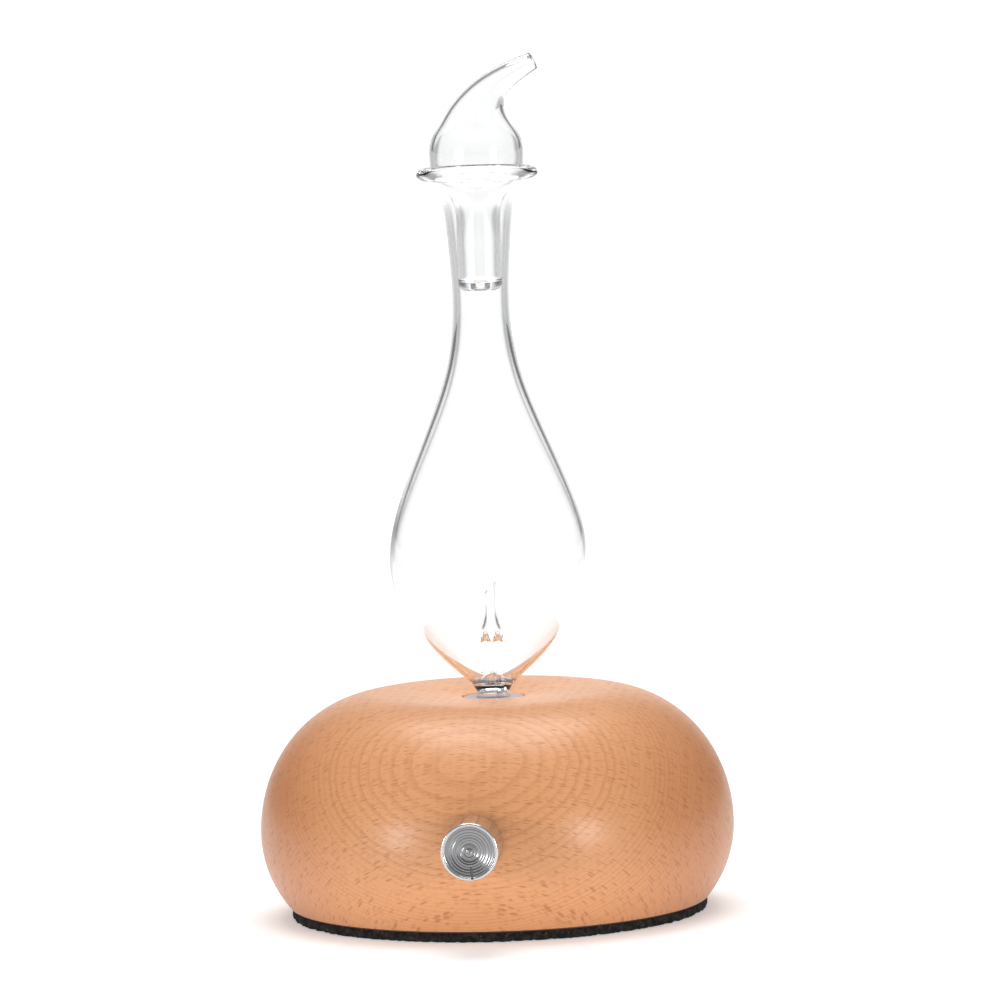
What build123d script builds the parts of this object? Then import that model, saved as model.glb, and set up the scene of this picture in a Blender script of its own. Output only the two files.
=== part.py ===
"""Nebulising essential oil diffuser: a turned beech base, a glass bottle and a glass spout cap.

An air pump in the base blows up through the glass stem of the bottle. The jet draws oil up beside
it and breaks it into a dry mist, which leaves through the bent spout of the cap.

Millimetres. +Z is up, -Y is the front with the knob, +X is the way the spout points. The origin is
on the surface that the diffuser stands on, on the turning axis of the base and the bottle.
"""

import os
from math import cos, pi, radians, sin, tan

from build123d import *

# ---- Fits ----
running_gap = 0.05
glue_gap = 0.05
easy_gap = 0.3

# ---- Foot: foam pad on double-sided tape ----
pad_thickness = 2.6
tape_thickness = 0.4
pad_inset = 0.4
vent_radius = 1.6
vent_circle = 9.0
vent_count = 6
vent_centre_y = -19.0

# ---- Turned beech base ----
base_radius = 65.0
base_height = 58.0
bulge_height = 20.5
foot_inset = 7.5
crest_radius = 31.0
dish_depth = 1.4
throat_radius = 8.5
throat_round = 0.6
rim_width = 13.5
top_thickness = 15.0
ledge_width = 8.2
floor_thickness = 2.5
skin_thickness = 5.2

# ---- Floor plate screws ----
plate_screw_radius = 1.5
plate_screw_head_radius = 3.0
plate_screw_length = 12.0
plate_screw_count = 4

# ---- Light ring, lamp board and stem socket, hung from the ceiling of the base ----
ring_recess = 0.2
ring_wall_gap = 0.15
ring_shoulder_depth = 8.4
ring_flange_radius = 15.0
ring_flange_thickness = 1.6
lamp_height = 1.2
lamp_size = 2.8
lamp_circle = 11.6
lamp_count = 6
board_thickness = 1.6
lamp_board_radius = 20.0
lamp_board_bore = 8.6
lamp_board_drop = 3.0
socket_flange_thickness = 1.8
socket_radius = 8.3
socket_screw_circle = 17.8
socket_screw_radius = 1.2
socket_screw_bite = 6.0
seal_wall = 1.85
seal_top_above_ceiling = 4.0
seal_bottom_below_ceiling = 6.6
plenum_radius = 3.0
barb_radius = 1.6
barb_bore = 0.9
barb_length = 6.5

# ---- Glass bottle ----
stem_radius = 4.3
stem_bore = 1.0
stem_length = 20.0
bottle_wall = 1.2
bottle_belly_radius = 27.2
bottle_neck_radius = 7.7
bottle_height = 145.4
lip_radius = 16.6
lip_bead = 1.55
bottle_floor_height = 7.0

# ---- Jet inside the bottle ----
jet_tube_radius = 1.6
jet_tube_bore = 0.55
jet_tube_height = 7.6
jet_tip_height = 3.2
jet_tip_radius = 0.6
nozzle_lap = 1.7
nozzle_height = 15.6
nozzle_tip_radius = 1.6
nozzle_wall = 0.55
nozzle_cut_drop = 3.3

# ---- Glass cap ----
cap_wall = 1.0
cap_stem_radius = 6.0
cap_stem_depth = 33.6
cap_stem_floor = 2.2
cap_drain_radius = 1.9
cap_stem_round = 2.0

# ---- Knob and rotary control ----
knob_z = 28.3
knob_radius = 7.7
knob_length = 17.0
knob_standoff = 0.6
knob_rim = 0.7
knob_dish = 0.35
knob_front_wall = 2.0
knob_bore_radius = 6.2
knob_flutes = 12
flute_width = 0.9
flute_stop = 1.2
pointer_width = 0.7
pointer_depth = 0.35
pointer_start = 3.9
pointer_angle = 5.0
insert_length = 6.0
shaft_radius = 3.0
shaft_flat = 1.5
bushing_radius = 3.5
control_spot_radius = 6.7
control_spot_depth = 1.0
control_plate_width = 17.0
control_plate_height = 18.0
control_plate_thickness = 1.0
control_can_radius = 8.2
control_can_length = 8.5
control_can_wall = 0.4
control_wafer_thickness = 1.5
control_pocket_gap = 0.7
wiring_slot_depth = 1.5
washer_thickness = 0.6
washer_radius = 5.6
nut_across_flats = 10.0
nut_thickness = 2.0

# ---- Power inlet ----
jack_z = 20.0
jack_bore_radius = 2.85
jack_bore_depth = 9.5
jack_pin_radius = 1.05
jack_barrel_radius = 5.4
jack_length = 15.0
jack_flange_radius = 6.8
jack_flange_thickness = 1.4
jack_recess = 2.4
jack_nut_across_flats = 13.6
jack_nut_thickness = 2.0
jack_pocket_size = 17.0

# ---- Control board ----
main_board_length = 48.0
main_board_width = 30.0
main_board_y = -19.0
main_board_lift = 4.0
board_post_radius = 2.4
board_screw_radius = 1.2
board_screw_head = 2.1
board_hole_inset = 3.2

# ---- Swing-arm air pump ----
pump_length = 54.0
pump_width = 26.0
pump_case_height = 21.0
pump_lid_thickness = 2.0
pump_wall = 1.6
pump_y = 18.0
pump_foam = 2.5
lid_post_radius = 2.2
lid_screw_radius = 0.9
core_depth = 16.0
core_width = 21.0
core_height = 10.0
core_leg = 5.4
core_side_leg = 3.4
core_x = -21.0
bobbin_wall = 0.7
coil_wire_x = -12.0
bobbin_height = 17.2
magnet_gap = 0.8
magnet_length = 4.5
magnet_width = 12.0
arm_height = 9.0
arm_thickness = 2.8
pivot_x = 21.5
pivot_boss_radius = 3.2
pivot_pin_radius = 1.5
diaphragm_x = 12.2
diaphragm_radius = 8.4
diaphragm_thickness = 1.4
diaphragm_gap = 2.6
stud_radius = 1.0
stud_head_radius = 2.6
chamber_radius = 6.4
chamber_depth = 1.5
valve_plate_thickness = 2.1
valve_spacing = 6.4
flap_radius = 2.2
flap_thickness = 0.5
nozzle_tube_length = 8.0
hose_wall = 0.95

# ---- Wires ----
wire_radius = 0.55
wire_pitch = 1.6
terminal_pitch = 2.5

# ---- Levels and radii that follow from the sizes above ----
wood_z = pad_thickness + tape_thickness
floor_z = wood_z + floor_thickness
bulge_z = wood_z + bulge_height
crest_z = wood_z + base_height
throat_z = crest_z - dish_depth
ceiling_z = crest_z - top_thickness
foot_radius = base_radius - foot_inset
cavity_radius = foot_radius - rim_width
ledge_radius = cavity_radius + ledge_width
plate_radius = ledge_radius - 0.2
plate_screw_circle = cavity_radius + ledge_width / 2
ring_z = throat_z - ring_recess
lamp_board_z = ceiling_z - lamp_board_drop
socket_z = lamp_board_z - board_thickness
seal_radius = stem_radius + running_gap + seal_wall
hose_radius = barb_radius + running_gap + hose_wall
barb_z = socket_z - socket_flange_thickness - hose_radius - 0.5
seal_z = ceiling_z - seal_bottom_below_ceiling
stem_z = ring_z - stem_length
lip_z = ring_z + bottle_height
bottle_floor_z = ring_z + bottle_floor_height
control_face = base_radius - skin_thickness
knob_back = base_radius + knob_standoff
knob_front = knob_back + knob_length
jack_flange_back = base_radius - jack_recess
jack_pocket_face = jack_flange_back - skin_thickness
main_board_z = floor_z + main_board_lift
board_top_z = main_board_z + board_thickness
pump_z = floor_z + pump_foam
pump_floor_z = pump_z + pump_wall
pump_top_z = pump_z + pump_case_height
pump_axis_z = pump_floor_z + diaphragm_radius + 0.6
core_front_x = core_x + core_depth
magnet_x = core_front_x + magnet_gap
arm_x = magnet_x + magnet_length
valve_front_y = pump_y - pump_width / 2 + pump_wall
diaphragm_y = pump_y - arm_thickness / 2 - diaphragm_gap
valve_plate_y = diaphragm_y - diaphragm_thickness - valve_plate_thickness
outlet_x = diaphragm_x - valve_spacing / 2
jet_spacing = jet_tube_radius + glue_gap

FRONT = Plane(origin=(0, 0, knob_z), x_dir=(1, 0, 0), z_dir=(0, -1, 0))
REAR = Plane(origin=(0, 0, jack_z), x_dir=(-1, 0, 0), z_dir=(0, 1, 0))


# ---- Shape helpers ----
def block(x0, x1, y0, y1, z0, z1):
    """A box between two corners."""
    middle = Pos((x0 + x1) / 2, (y0 + y1) / 2, (z0 + z1) / 2)
    return middle * Box(x1 - x0, y1 - y0, z1 - z0)


def rod(radius, z0, z1, x=0.0, y=0.0):
    """An upright cylinder between two heights."""
    return Pos(x, y, (z0 + z1) / 2) * Cylinder(radius, z1 - z0)


def tube(outer, inner, z0, z1, x=0.0, y=0.0):
    """An upright tube between two heights."""
    return rod(outer, z0, z1, x, y) - rod(inner, z0, z1, x, y)


def taper(r0, r1, z0, z1, x=0.0, y=0.0):
    """An upright cone from radius r0 at z0 to r1 at z1."""
    return Pos(x, y, (z0 + z1) / 2) * Cone(r0, r1, z1 - z0)


def cross_rod(radius, y0, y1, x, z):
    """A cylinder along Y between two places."""
    return Pos(x, (y0 + y1) / 2, z) * Rot(90, 0, 0) * Cylinder(radius, y1 - y0)


def turned(edges):
    """A solid turned about Z from a closed outline of edges in (radius, height)."""
    return revolve(Plane.XZ * make_face(Curve() + edges), axis=Axis.Z)


def turned_points(*points):
    """A solid turned about Z from straight runs through (radius, height) points."""
    return turned([Polyline(*points, close=True)])


def around(count, circle, start=0.0):
    """Places spaced evenly on a circle about Z, as (x, y)."""
    angles = [radians(start + 360.0 * i / count) for i in range(count)]
    return [(circle * cos(a), circle * sin(a)) for a in angles]


def together(shapes):
    """Separate solids that share one node."""
    return Compound(list(shapes))


def hexagon_nut(across_flats, bore, z0, z1):
    """A hexagon nut with chamfered corners."""
    corner = across_flats / 2 / cos(pi / 6)
    blank = Pos(0, 0, z0) * extrude(RegularPolygon(corner, 6), z1 - z0)
    dressed = Pos(0, 0, (z0 + z1) / 2) * chamfer(
        Cylinder(corner, z1 - z0).edges().filter_by(GeomType.CIRCLE), (z1 - z0) * 0.2
    )
    return (blank & dressed) - rod(bore, z0, z1)


def corner_radii(points):
    """The largest bend radius that each corner of a route has room for."""
    radii = []
    for before, here, after in zip(points, points[1:], points[2:]):
        inward = Vector(*here) - Vector(*before)
        outward = Vector(*after) - Vector(*here)
        half_turn = radians(inward.get_angle(outward)) / 2
        radii.append(0.45 * min(inward.length, outward.length) / tan(half_turn))
    return radii


def flexible(points, radius, bore=0.0):
    """A wire or hose along straight runs joined by tangent arcs."""
    route = FilletPolyline(*points, radius=corner_radii(points))
    section = Plane(route @ 0, z_dir=route % 0) * Circle(radius)
    run = sweep(section, route)
    if bore:
        run -= sweep(Plane(route @ 0, z_dir=route % 0) * Circle(bore), route)
    return run


def ribbon(points, count, pitch=wire_pitch, across=(1, 0)):
    """Loose wires side by side, in X or in Y, along one route."""
    shifts = [(i - (count - 1) / 2) * pitch for i in range(count)]
    return together(
        flexible([(x + s * across[0], y + s * across[1], z) for x, y, z in points], wire_radius)
        for s in shifts
    )


# ---- Foot ----
def vents(radius, z0, z1):
    places = around(vent_count, vent_circle)
    return [rod(radius, z0, z1, x, vent_centre_y + y) for x, y in places]


def plate_screw_places():
    return around(plate_screw_count, plate_screw_circle, 45)


def foot_pad():
    """Foam rubber disc that the diffuser stands on."""
    pad = rod(foot_radius - pad_inset, 0, pad_thickness)
    return pad - vents(vent_radius + 0.4, 0, pad_thickness)


def pad_tape():
    """Double-sided tape between the pad and the wood."""
    disc = rod(foot_radius - 2 * pad_inset, pad_thickness, wood_z)
    return disc - vents(vent_radius + 0.4, pad_thickness, wood_z)


def base_plate():
    """Moulded floor that closes the base from below and carries the works."""
    plate = rod(plate_radius, wood_z, floor_z)
    plate -= vents(vent_radius, wood_z, floor_z)
    sink = plate_screw_head_radius + 0.1
    for x, y in plate_screw_places():
        plate -= rod(plate_screw_radius + 0.2, wood_z, floor_z, x, y)
        plate -= taper(sink, plate_screw_radius + 0.2, wood_z, wood_z + 1.8, x, y)
    for x, y in board_hole_places():
        plate -= rod(board_screw_radius + running_gap, wood_z + 0.6, floor_z, x, y)
    return plate


def plate_screws():
    """Countersunk wood screws that hold the floor plate."""
    screws = []
    tip_z = wood_z + plate_screw_length
    for x, y in plate_screw_places():
        head = taper(plate_screw_head_radius, plate_screw_radius, wood_z, wood_z + 1.7, x, y)
        shank = rod(plate_screw_radius, wood_z + 1.7, tip_z - 2, x, y)
        point = taper(plate_screw_radius, 0.2, tip_z - 2, tip_z, x, y)
        drive = [
            Pos(x, y, wood_z + 0.5) * Box(3.2, 0.8, 1.0),
            Pos(x, y, wood_z + 0.5) * Box(0.8, 3.2, 1.0),
        ]
        screws.append((head + shank + point) - drive)
    return together(screws)


# ---- Base ----
def wood_base():
    """Beech body, turned outside and bored from below."""
    outline = [
        TangentArc((base_radius, bulge_z), (foot_radius, wood_z), tangent=(0, -1)),
        EllipticalCenterArc(
            (crest_radius, bulge_z), base_radius - crest_radius, crest_z - bulge_z, arc_size=90
        ),
        TangentArc((crest_radius, crest_z), (throat_radius, throat_z), tangent=(-1, 0)),
        Polyline(
            (throat_radius, throat_z),
            (throat_radius, ceiling_z),
            (cavity_radius, ceiling_z),
            (cavity_radius, floor_z),
            (ledge_radius, floor_z),
            (ledge_radius, wood_z),
            (foot_radius, wood_z),
        ),
    ]
    body = turned(outline)
    mouth = body.edges().filter_by(GeomType.CIRCLE).sort_by(Axis.Z)
    mouth = [e for e in mouth if abs(e.radius - throat_radius) < 1e-3][-1]
    body = fillet(mouth, throat_round)
    body -= control_pocket()
    body -= jack_pocket()
    for x, y in plate_screw_places():
        body -= rod(plate_screw_radius + running_gap, floor_z, wood_z + plate_screw_length + 1, x, y)
    for x, y in around(3, socket_screw_circle, 90):
        body -= rod(socket_screw_radius + running_gap, ceiling_z, ceiling_z + socket_screw_bite, x, y)
    return body


def control_pocket():
    """Front cut for the rotary control: pocket inside, hole and spot face outside."""
    half = control_plate_width / 2 + control_pocket_gap
    top = control_plate_width / 2 + control_pocket_gap
    bottom = control_plate_width / 2 - control_plate_height - control_pocket_gap
    pocket = block(-half, half, bottom, top, cavity_radius - 4, control_face)
    slot_face = control_face - control_plate_thickness - control_can_length + wiring_slot_depth
    pocket += block(-half, half, floor_z - knob_z, bottom, cavity_radius - 4, slot_face)
    hole = rod(bushing_radius + 0.2, control_face, base_radius + 1)
    spot = rod(control_spot_radius, base_radius - control_spot_depth, base_radius + 1)
    return FRONT * (pocket + hole + spot)


def jack_pocket():
    """Rear cut for the power inlet."""
    half = jack_pocket_size / 2
    pocket = block(-half, half, -half, half, cavity_radius - 4, jack_pocket_face)
    hole = rod(jack_barrel_radius + 0.2, jack_pocket_face, base_radius + 1)
    spot = rod(jack_flange_radius + easy_gap, jack_flange_back, base_radius + 1)
    return REAR * (pocket + hole + spot)


# ---- Light ring and stem socket ----
def light_ring():
    """Frosted light guide: a thick sleeve whose end face shows round the glass stem."""
    outer = throat_radius - ring_wall_gap
    shoulder_z = ring_z - ring_shoulder_depth
    flange_z = ceiling_z - ring_flange_thickness
    inner = stem_radius + 0.5
    lower = seal_radius + 0.15
    ring = turned_points(
        (inner, ring_z),
        (outer, ring_z),
        (outer, ceiling_z),
        (ring_flange_radius, ceiling_z),
        (ring_flange_radius, lamp_board_z),
        (ring_flange_radius - 1.2, lamp_board_z),
        (ring_flange_radius - 1.2, flange_z),
        (lower, flange_z),
        (lower, shoulder_z),
        (inner, shoulder_z),
    )
    top = ring.edges().filter_by(GeomType.CIRCLE).group_by(Axis.Z)[-1]
    return chamfer(top, 0.25)


def socket_screw_places():
    return around(3, socket_screw_circle, 90)


def lamp_board():
    """Ring-shaped circuit board under the light ring."""
    board = tube(lamp_board_radius, lamp_board_bore, socket_z, lamp_board_z)
    return board - [
        rod(socket_screw_radius + 0.2, socket_z, lamp_board_z, x, y)
        for x, y in socket_screw_places()
    ]


def lamps():
    """Surface-mount lamps."""
    return together(
        Pos(x, y, lamp_board_z + lamp_height / 2) * Box(lamp_size, lamp_size, lamp_height)
        for x, y in around(lamp_count, lamp_circle, 30)
    )


def lamp_spacers():
    """Nylon spacers between the lamp board and the ceiling."""
    return together(
        tube(2.3, socket_screw_radius + 0.2, lamp_board_z, ceiling_z, x, y)
        for x, y in socket_screw_places()
    )


def air_socket():
    """Moulded cup that holds the stem seal and takes the air hose."""
    under_z = socket_z - socket_flange_thickness
    bottom_z = barb_z - barb_radius - 1.5
    body = rod(lamp_board_radius, under_z, socket_z) + rod(socket_radius, bottom_z, socket_z)
    body -= rod(seal_radius + running_gap, seal_z, socket_z)
    body -= rod(plenum_radius, bottom_z + 1.2, seal_z)
    body += cross_rod(barb_radius, -socket_radius - barb_length, -socket_radius + 1.0, 0, barb_z)
    body -= cross_rod(barb_bore, -socket_radius - barb_length, -1, 0, barb_z)
    for x, y in socket_screw_places():
        body -= rod(socket_screw_radius + 0.2, under_z, socket_z, x, y)
    return body


def socket_screws():
    """Pan-head screws through the socket, the lamp board and the spacers."""
    under_z = socket_z - socket_flange_thickness
    return together(
        rod(2.2, under_z - 1.4, under_z, x, y)
        + rod(socket_screw_radius, under_z, ceiling_z + socket_screw_bite - 0.5, x, y)
        - Pos(x, y, under_z - 1.4) * Box(2.6, 0.6, 1.2)
        for x, y in socket_screw_places()
    )


def stem_seal():
    """Silicone sleeve that grips the glass stem."""
    top_z = ceiling_z + seal_top_above_ceiling
    sleeve = tube(seal_radius, stem_radius + running_gap, seal_z, top_z)
    groove_z = (seal_z + top_z) / 2
    inner = stem_radius + running_gap
    grooves = [tube(inner + 0.5, inner - 0.1, groove_z + dz, groove_z + dz + 1.2) for dz in (-3, 0, 3)]
    return sleeve - grooves


# ---- Glass ----
def bottle_outline():
    """Outside of the bottle from the foot to the lip, as (radius, height over the light ring)."""
    neck = bottle_neck_radius
    return Spline(
        (stem_radius + 2.1, 4.4),
        (stem_radius + 9.3, 10.8),
        (bottle_belly_radius - 4.9, 20.7),
        (bottle_belly_radius, 38.8),
        (bottle_belly_radius - 4.2, 57.1),
        (neck + 7.1, 76.9),
        (neck + 1.7, 93.1),
        (neck, 109.6),
        (neck + 0.9, 126.6),
        (neck + 3.0, 137.6),
        (lip_radius - 2.2, bottle_height - 3.2),
        tangents=[(0.75, 0.66), (0.85, 0.53)],
    )


def glass_bottle():
    """Blown bottle: ground stem, drop-shaped belly, long neck and rolled lip, all one glass."""
    lift = Pos(0, ring_z)
    outside = lift * bottle_outline()
    walls = [0.05 + 0.95 * i / 15 for i in range(16)]
    inside_points = []
    for t in walls:
        along = outside % t
        inward = Vector(-along.Y, along.X)
        inside_points.append((outside @ t) + inward * bottle_wall)
    inside = Spline(*inside_points)
    foot = outside @ 0
    lip = outside @ 1
    bead_x = lip_radius - lip_bead
    bead_z = lip.Y + lip_bead
    waist_z = ring_z + 1.9
    edges = [
        Polyline(
            (0, stem_z),
            (stem_radius - 0.4, stem_z),
            (stem_radius, stem_z + 0.6),
            (stem_radius, waist_z - 0.9),
        ),
        Spline(
            (stem_radius, waist_z - 0.9),
            (stem_radius + 0.5, waist_z + 0.3),
            (foot.X, foot.Y),
            tangents=[(0, 1), (0.75, 0.66)],
        ),
        outside,
        Line((lip.X, lip.Y), (bead_x, bead_z - lip_bead)),
        ThreePointArc(
            (bead_x, bead_z - lip_bead), (bead_x + lip_bead, bead_z), (bead_x, bead_z + lip_bead)
        ),
        Spline(
            (bead_x, bead_z + lip_bead),
            (inside_points[-1].X, inside_points[-1].Y),
            tangents=[(-1, -0.15), (outside % 1) * -1],
        ),
        inside,
        Spline(
            (inside_points[0].X, inside_points[0].Y),
            (0, bottle_floor_z),
            tangents=[(inside % 0) * -1, (-1, 0)],
        ),
        Line((0, bottle_floor_z), (0, stem_z)),
    ]
    bottle = turned(edges)
    return bottle - rod(stem_bore, stem_z - 1, bottle_floor_z + 1.0, jet_spacing)


def jet_shape(side, radius, tip_radius):
    """One tube of the jet with its drawn-out tip, at the given outer or inner radius."""
    x = side * jet_spacing
    top_z = bottle_floor_z + jet_tube_height
    return rod(radius, bottle_floor_z, top_z, x) + taper(
        radius, tip_radius, top_z, top_z + jet_tip_height, x
    )


def jet_tubes():
    """Air tube and oil tube, fused side by side to the floor of the bottle."""
    tubes = []
    for side in (1, -1):
        body = jet_shape(side, jet_tube_radius, jet_tip_radius)
        body -= jet_shape(side, jet_tube_bore, jet_tip_radius / 2)
        if side < 0:
            x = -jet_spacing
            intake_z = bottle_floor_z + 1.6
            body -= block(x - 2 * jet_tube_radius, x, -0.4, 0.4, intake_z, intake_z + 1.2)
        tubes.append(body - glass_bottle())
    return together(tubes)


def jet_nozzle():
    """Hollow glass spike over the jet, joined to both tubes by a web and cut off at a slant."""
    z0 = bottle_floor_z + jet_tube_height + nozzle_lap
    z1 = z0 + nozzle_height
    foot = jet_spacing + jet_tube_radius
    tip = nozzle_tip_radius
    outside = [
        Spline(
            (foot, z0),
            (foot - 0.35, z0 + 1.9),
            (tip + 0.55, z0 + 4.4),
            (tip + 0.15, z0 + 11.0),
            (tip, z1),
            tangents=[(0, 1), (0, 1)],
        ),
        Polyline((tip, z1), (0, z1), (0, z0), (foot, z0)),
    ]
    spike = turned(outside)
    bore = turned(
        [
            Spline(
                (foot - nozzle_wall, z0 + nozzle_wall),
                (foot - 0.4 - nozzle_wall, z0 + 1.9),
                (tip + 0.5 - nozzle_wall, z0 + 4.4),
                (tip + 0.1 - nozzle_wall, z0 + 11.0),
                (tip - nozzle_wall, z1),
                tangents=[(0, 1), (0, 1)],
            ),
            Polyline(
                (tip - nozzle_wall, z1),
                (0, z1),
                (0, z0 + nozzle_wall),
                (foot - nozzle_wall, z0 + nozzle_wall),
            ),
        ]
    )
    drain = rod(0.5, z0, z0 + 1.0, 0, 1.7)
    slope = Plane(
        origin=(tip, 0, z1),
        x_dir=(2 * tip, 0, nozzle_cut_drop),
        z_dir=(-nozzle_cut_drop, 0, 2 * tip),
    )
    tubes = [jet_shape(side, jet_tube_radius, jet_tip_radius) for side in (1, -1)]
    return spike - bore - tubes - drain - slope * Pos(0, 0, 5) * Box(30, 30, 10)


def cap_stations():
    """Round sections of the spout: (x, height over the lip, radius, lean from upright)."""
    return [
        (0.0, 0.5, 12.7, 0),
        (0.0, 4.6, 12.8, 0),
        (0.1, 8.2, 12.0, 1),
        (0.2, 11.4, 10.1, 2),
        (0.6, 15.1, 7.9, 6),
        (2.1, 18.4, 6.1, 15),
        (4.4, 21.3, 4.6, 31),
        (7.4, 23.7, 3.7, 49),
        (10.9, 25.9, 3.1, 58),
        (16.1, 28.5, 2.4, 64),
    ]


def spout(shrink, reach=0.0):
    """The bent drop of the cap, made smaller by the given wall."""
    sections = []
    for x, up, radius, lean in cap_stations():
        place = Plane(
            origin=(x, 0, lip_z + up),
            x_dir=(cos(radians(lean)), 0, -sin(radians(lean))),
            z_dir=(sin(radians(lean)), 0, cos(radians(lean))),
        )
        sections.append(place * Circle(radius - shrink))
    body = loft(sections)
    if reach:
        end = sections[-1]
        body += extrude(end, reach)
    return body


def cap_root(shrink):
    """Funnel and stem of the cap below its first round section."""
    radius = cap_stem_radius - shrink
    top = cap_stations()[0]
    bottom_z = lip_z - cap_stem_depth
    floor = cap_stem_floor if shrink else 0.0
    rounding = cap_stem_round - shrink * 0.8
    return [
        Line((0, lip_z + top[1]), (top[2] - shrink, lip_z + top[1])),
        Spline(
            (top[2] - shrink, lip_z + top[1]),
            (11.7 - shrink, lip_z - 2.2),
            (9.6 - shrink, lip_z - 5.2),
            (6.9 - shrink, lip_z - 9.0),
            (radius, lip_z - 15.0),
            tangents=[(-0.05, -1), (0, -1)],
        ),
        Line((radius, lip_z - 15.0), (radius, bottom_z + floor + rounding)),
        TangentArc(
            (radius, bottom_z + floor + rounding), (radius - rounding, bottom_z + floor), tangent=(0, -1)
        ),
        Polyline(
            (radius - rounding, bottom_z + floor), (0, bottom_z + floor), (0, lip_z + top[1])
        ),
    ]


def glass_cap():
    """Blown spout cap whose hollow stem stands in the neck of the bottle."""
    outside = spout(0) + turned(cap_root(0))
    inside = spout(cap_wall, reach=1.0) + turned(cap_root(cap_wall))
    drain = rod(cap_drain_radius, lip_z - cap_stem_depth - 1, lip_z - cap_stem_depth + cap_stem_floor + 1)
    return outside - inside - drain


# ---- Knob and rotary control, along the FRONT plane ----
def shaft_section(radius):
    """D-shaped section of the control shaft."""
    return Circle(radius) - Pos(0, radius + radius - shaft_flat) * Rectangle(3 * radius, 2 * radius)


def knob_shell():
    """Turned aluminium knob with a spun face, a polished rim, grip flutes and a pointer cut."""
    shell = turned_points(
        (0, knob_front - knob_dish),
        (knob_radius - knob_rim - 0.25, knob_front - knob_dish),
        (knob_radius - knob_rim, knob_front),
        (knob_radius - 0.3, knob_front),
        (knob_radius, knob_front - 0.5),
        (knob_radius, knob_back + 0.3),
        (knob_radius - 0.3, knob_back),
        (knob_bore_radius, knob_back),
        (knob_bore_radius, knob_front - knob_front_wall),
        (0, knob_front - knob_front_wall),
    )
    for x, y in around(knob_flutes, knob_radius, 15):
        shell -= rod(flute_width / 2, knob_back, knob_front - flute_stop, x, y)
    groove_length = knob_radius - pointer_start
    groove = Rot(0, 0, -90 + pointer_angle) * block(
        pointer_start, pointer_start + groove_length - 0.35,
        -pointer_width / 2, pointer_width / 2,
        knob_front - knob_dish - pointer_depth, knob_front + 1,
    )
    return FRONT * (shell - groove)


def knob_insert():
    """Moulded hub pressed into the knob, with a D-shaped bore."""
    front = knob_front - knob_front_wall - glue_gap
    hub = rod(knob_bore_radius - glue_gap, front - insert_length, front)
    bore = Pos(0, 0, front - insert_length) * extrude(
        shaft_section(shaft_radius + running_gap), insert_length - 0.8
    )
    return FRONT * (hub - bore)


def control_shaft():
    """Rotor shaft of the control, with a flat at its free end."""
    hub_back = knob_front - knob_front_wall - glue_gap - insert_length
    round_part = rod(shaft_radius, control_face - 5.0, hub_back)
    end = Pos(0, 0, hub_back) * extrude(shaft_section(shaft_radius), insert_length - 1.0)
    return FRONT * (round_part + end)


def control_wiper():
    """Wiper disc that the shaft carries inside the can."""
    disc = rod(control_can_radius - 1.4, control_face - 6.2, control_face - 5.0)
    finger = block(-0.8, 0.8, 2.0, control_can_radius - 1.6, control_face - 7.0, control_face - 6.2)
    return FRONT * (disc + finger)


def control_plate():
    """Front plate of the control with its threaded bushing."""
    half = control_plate_width / 2
    plate = block(
        -half, half, half - control_plate_height, half,
        control_face - control_plate_thickness, control_face,
    )
    bushing = rod(bushing_radius, control_face, knob_back + 2.6)
    crests = [
        tube(bushing_radius + 0.1, bushing_radius - 0.3, z, z + 0.35)
        for z in (knob_back + 1.3, knob_back + 2.0)
    ]
    body = plate + bushing - crests
    return FRONT * (body - rod(shaft_radius + running_gap, control_face - 2, knob_front))


def control_can():
    """Pressed cover of the control."""
    z1 = control_face - control_plate_thickness
    z0 = z1 - control_can_length
    can = rod(control_can_radius, z0, z1) - rod(control_can_radius - control_can_wall, z0, z1)
    return FRONT * can


def control_wafer():
    """Resistive wafer that closes the back of the control."""
    z1 = control_face - control_plate_thickness - control_can_length
    disc = rod(control_can_radius, z1 - control_wafer_thickness, z1)
    tab = block(-6.5, 6.5, -control_can_radius - 1.6, 0, z1 - control_wafer_thickness, z1)
    return FRONT * (disc + tab)


def control_terminals():
    """Solder tabs behind the wafer."""
    z1 = control_face - control_plate_thickness - control_can_length - control_wafer_thickness
    y1 = -control_can_radius + 0.6
    return FRONT * together(
        block(x - 0.6, x + 0.6, y1 - 5.0, y1, z1 - 0.5, z1)
        for x in (-5.0, -2.5, 0.0, 2.5, 5.0)
    )


def control_washer():
    z0 = base_radius - control_spot_depth
    return FRONT * tube(washer_radius, bushing_radius + 0.1, z0, z0 + washer_thickness)


def control_nut():
    z0 = base_radius - control_spot_depth + washer_thickness
    return FRONT * hexagon_nut(nut_across_flats, bushing_radius + running_gap, z0, z0 + nut_thickness)


# ---- Power inlet, along the REAR plane ----
def jack_body():
    """Panel inlet with its barrel and flange."""
    front = jack_flange_back + jack_flange_thickness
    body = rod(jack_barrel_radius, front - jack_length, jack_flange_back)
    body += chamfer(
        rod(jack_flange_radius, jack_flange_back, front).edges().group_by(Axis.Z)[-1], 0.4
    )
    body -= rod(jack_bore_radius, front - jack_bore_depth, front)
    body -= rod(jack_pin_radius + running_gap, front - jack_length, front - jack_bore_depth)
    return REAR * body


def jack_pin():
    """Centre contact."""
    front = jack_flange_back + jack_flange_thickness
    pin = rod(jack_pin_radius, front - jack_length - 2.5, front - 1.2)
    return REAR * fillet(pin.edges().group_by(Axis.Z)[-1], 0.5)


def jack_terminals():
    """Sleeve and switch tabs on the back of the inlet."""
    back = jack_flange_back + jack_flange_thickness - jack_length
    return REAR * together(
        Rot(0, 0, a) * block(2.6, 3.1, -1.2, 1.2, back - 4.0, back) for a in (90, 210)
    )


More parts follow.
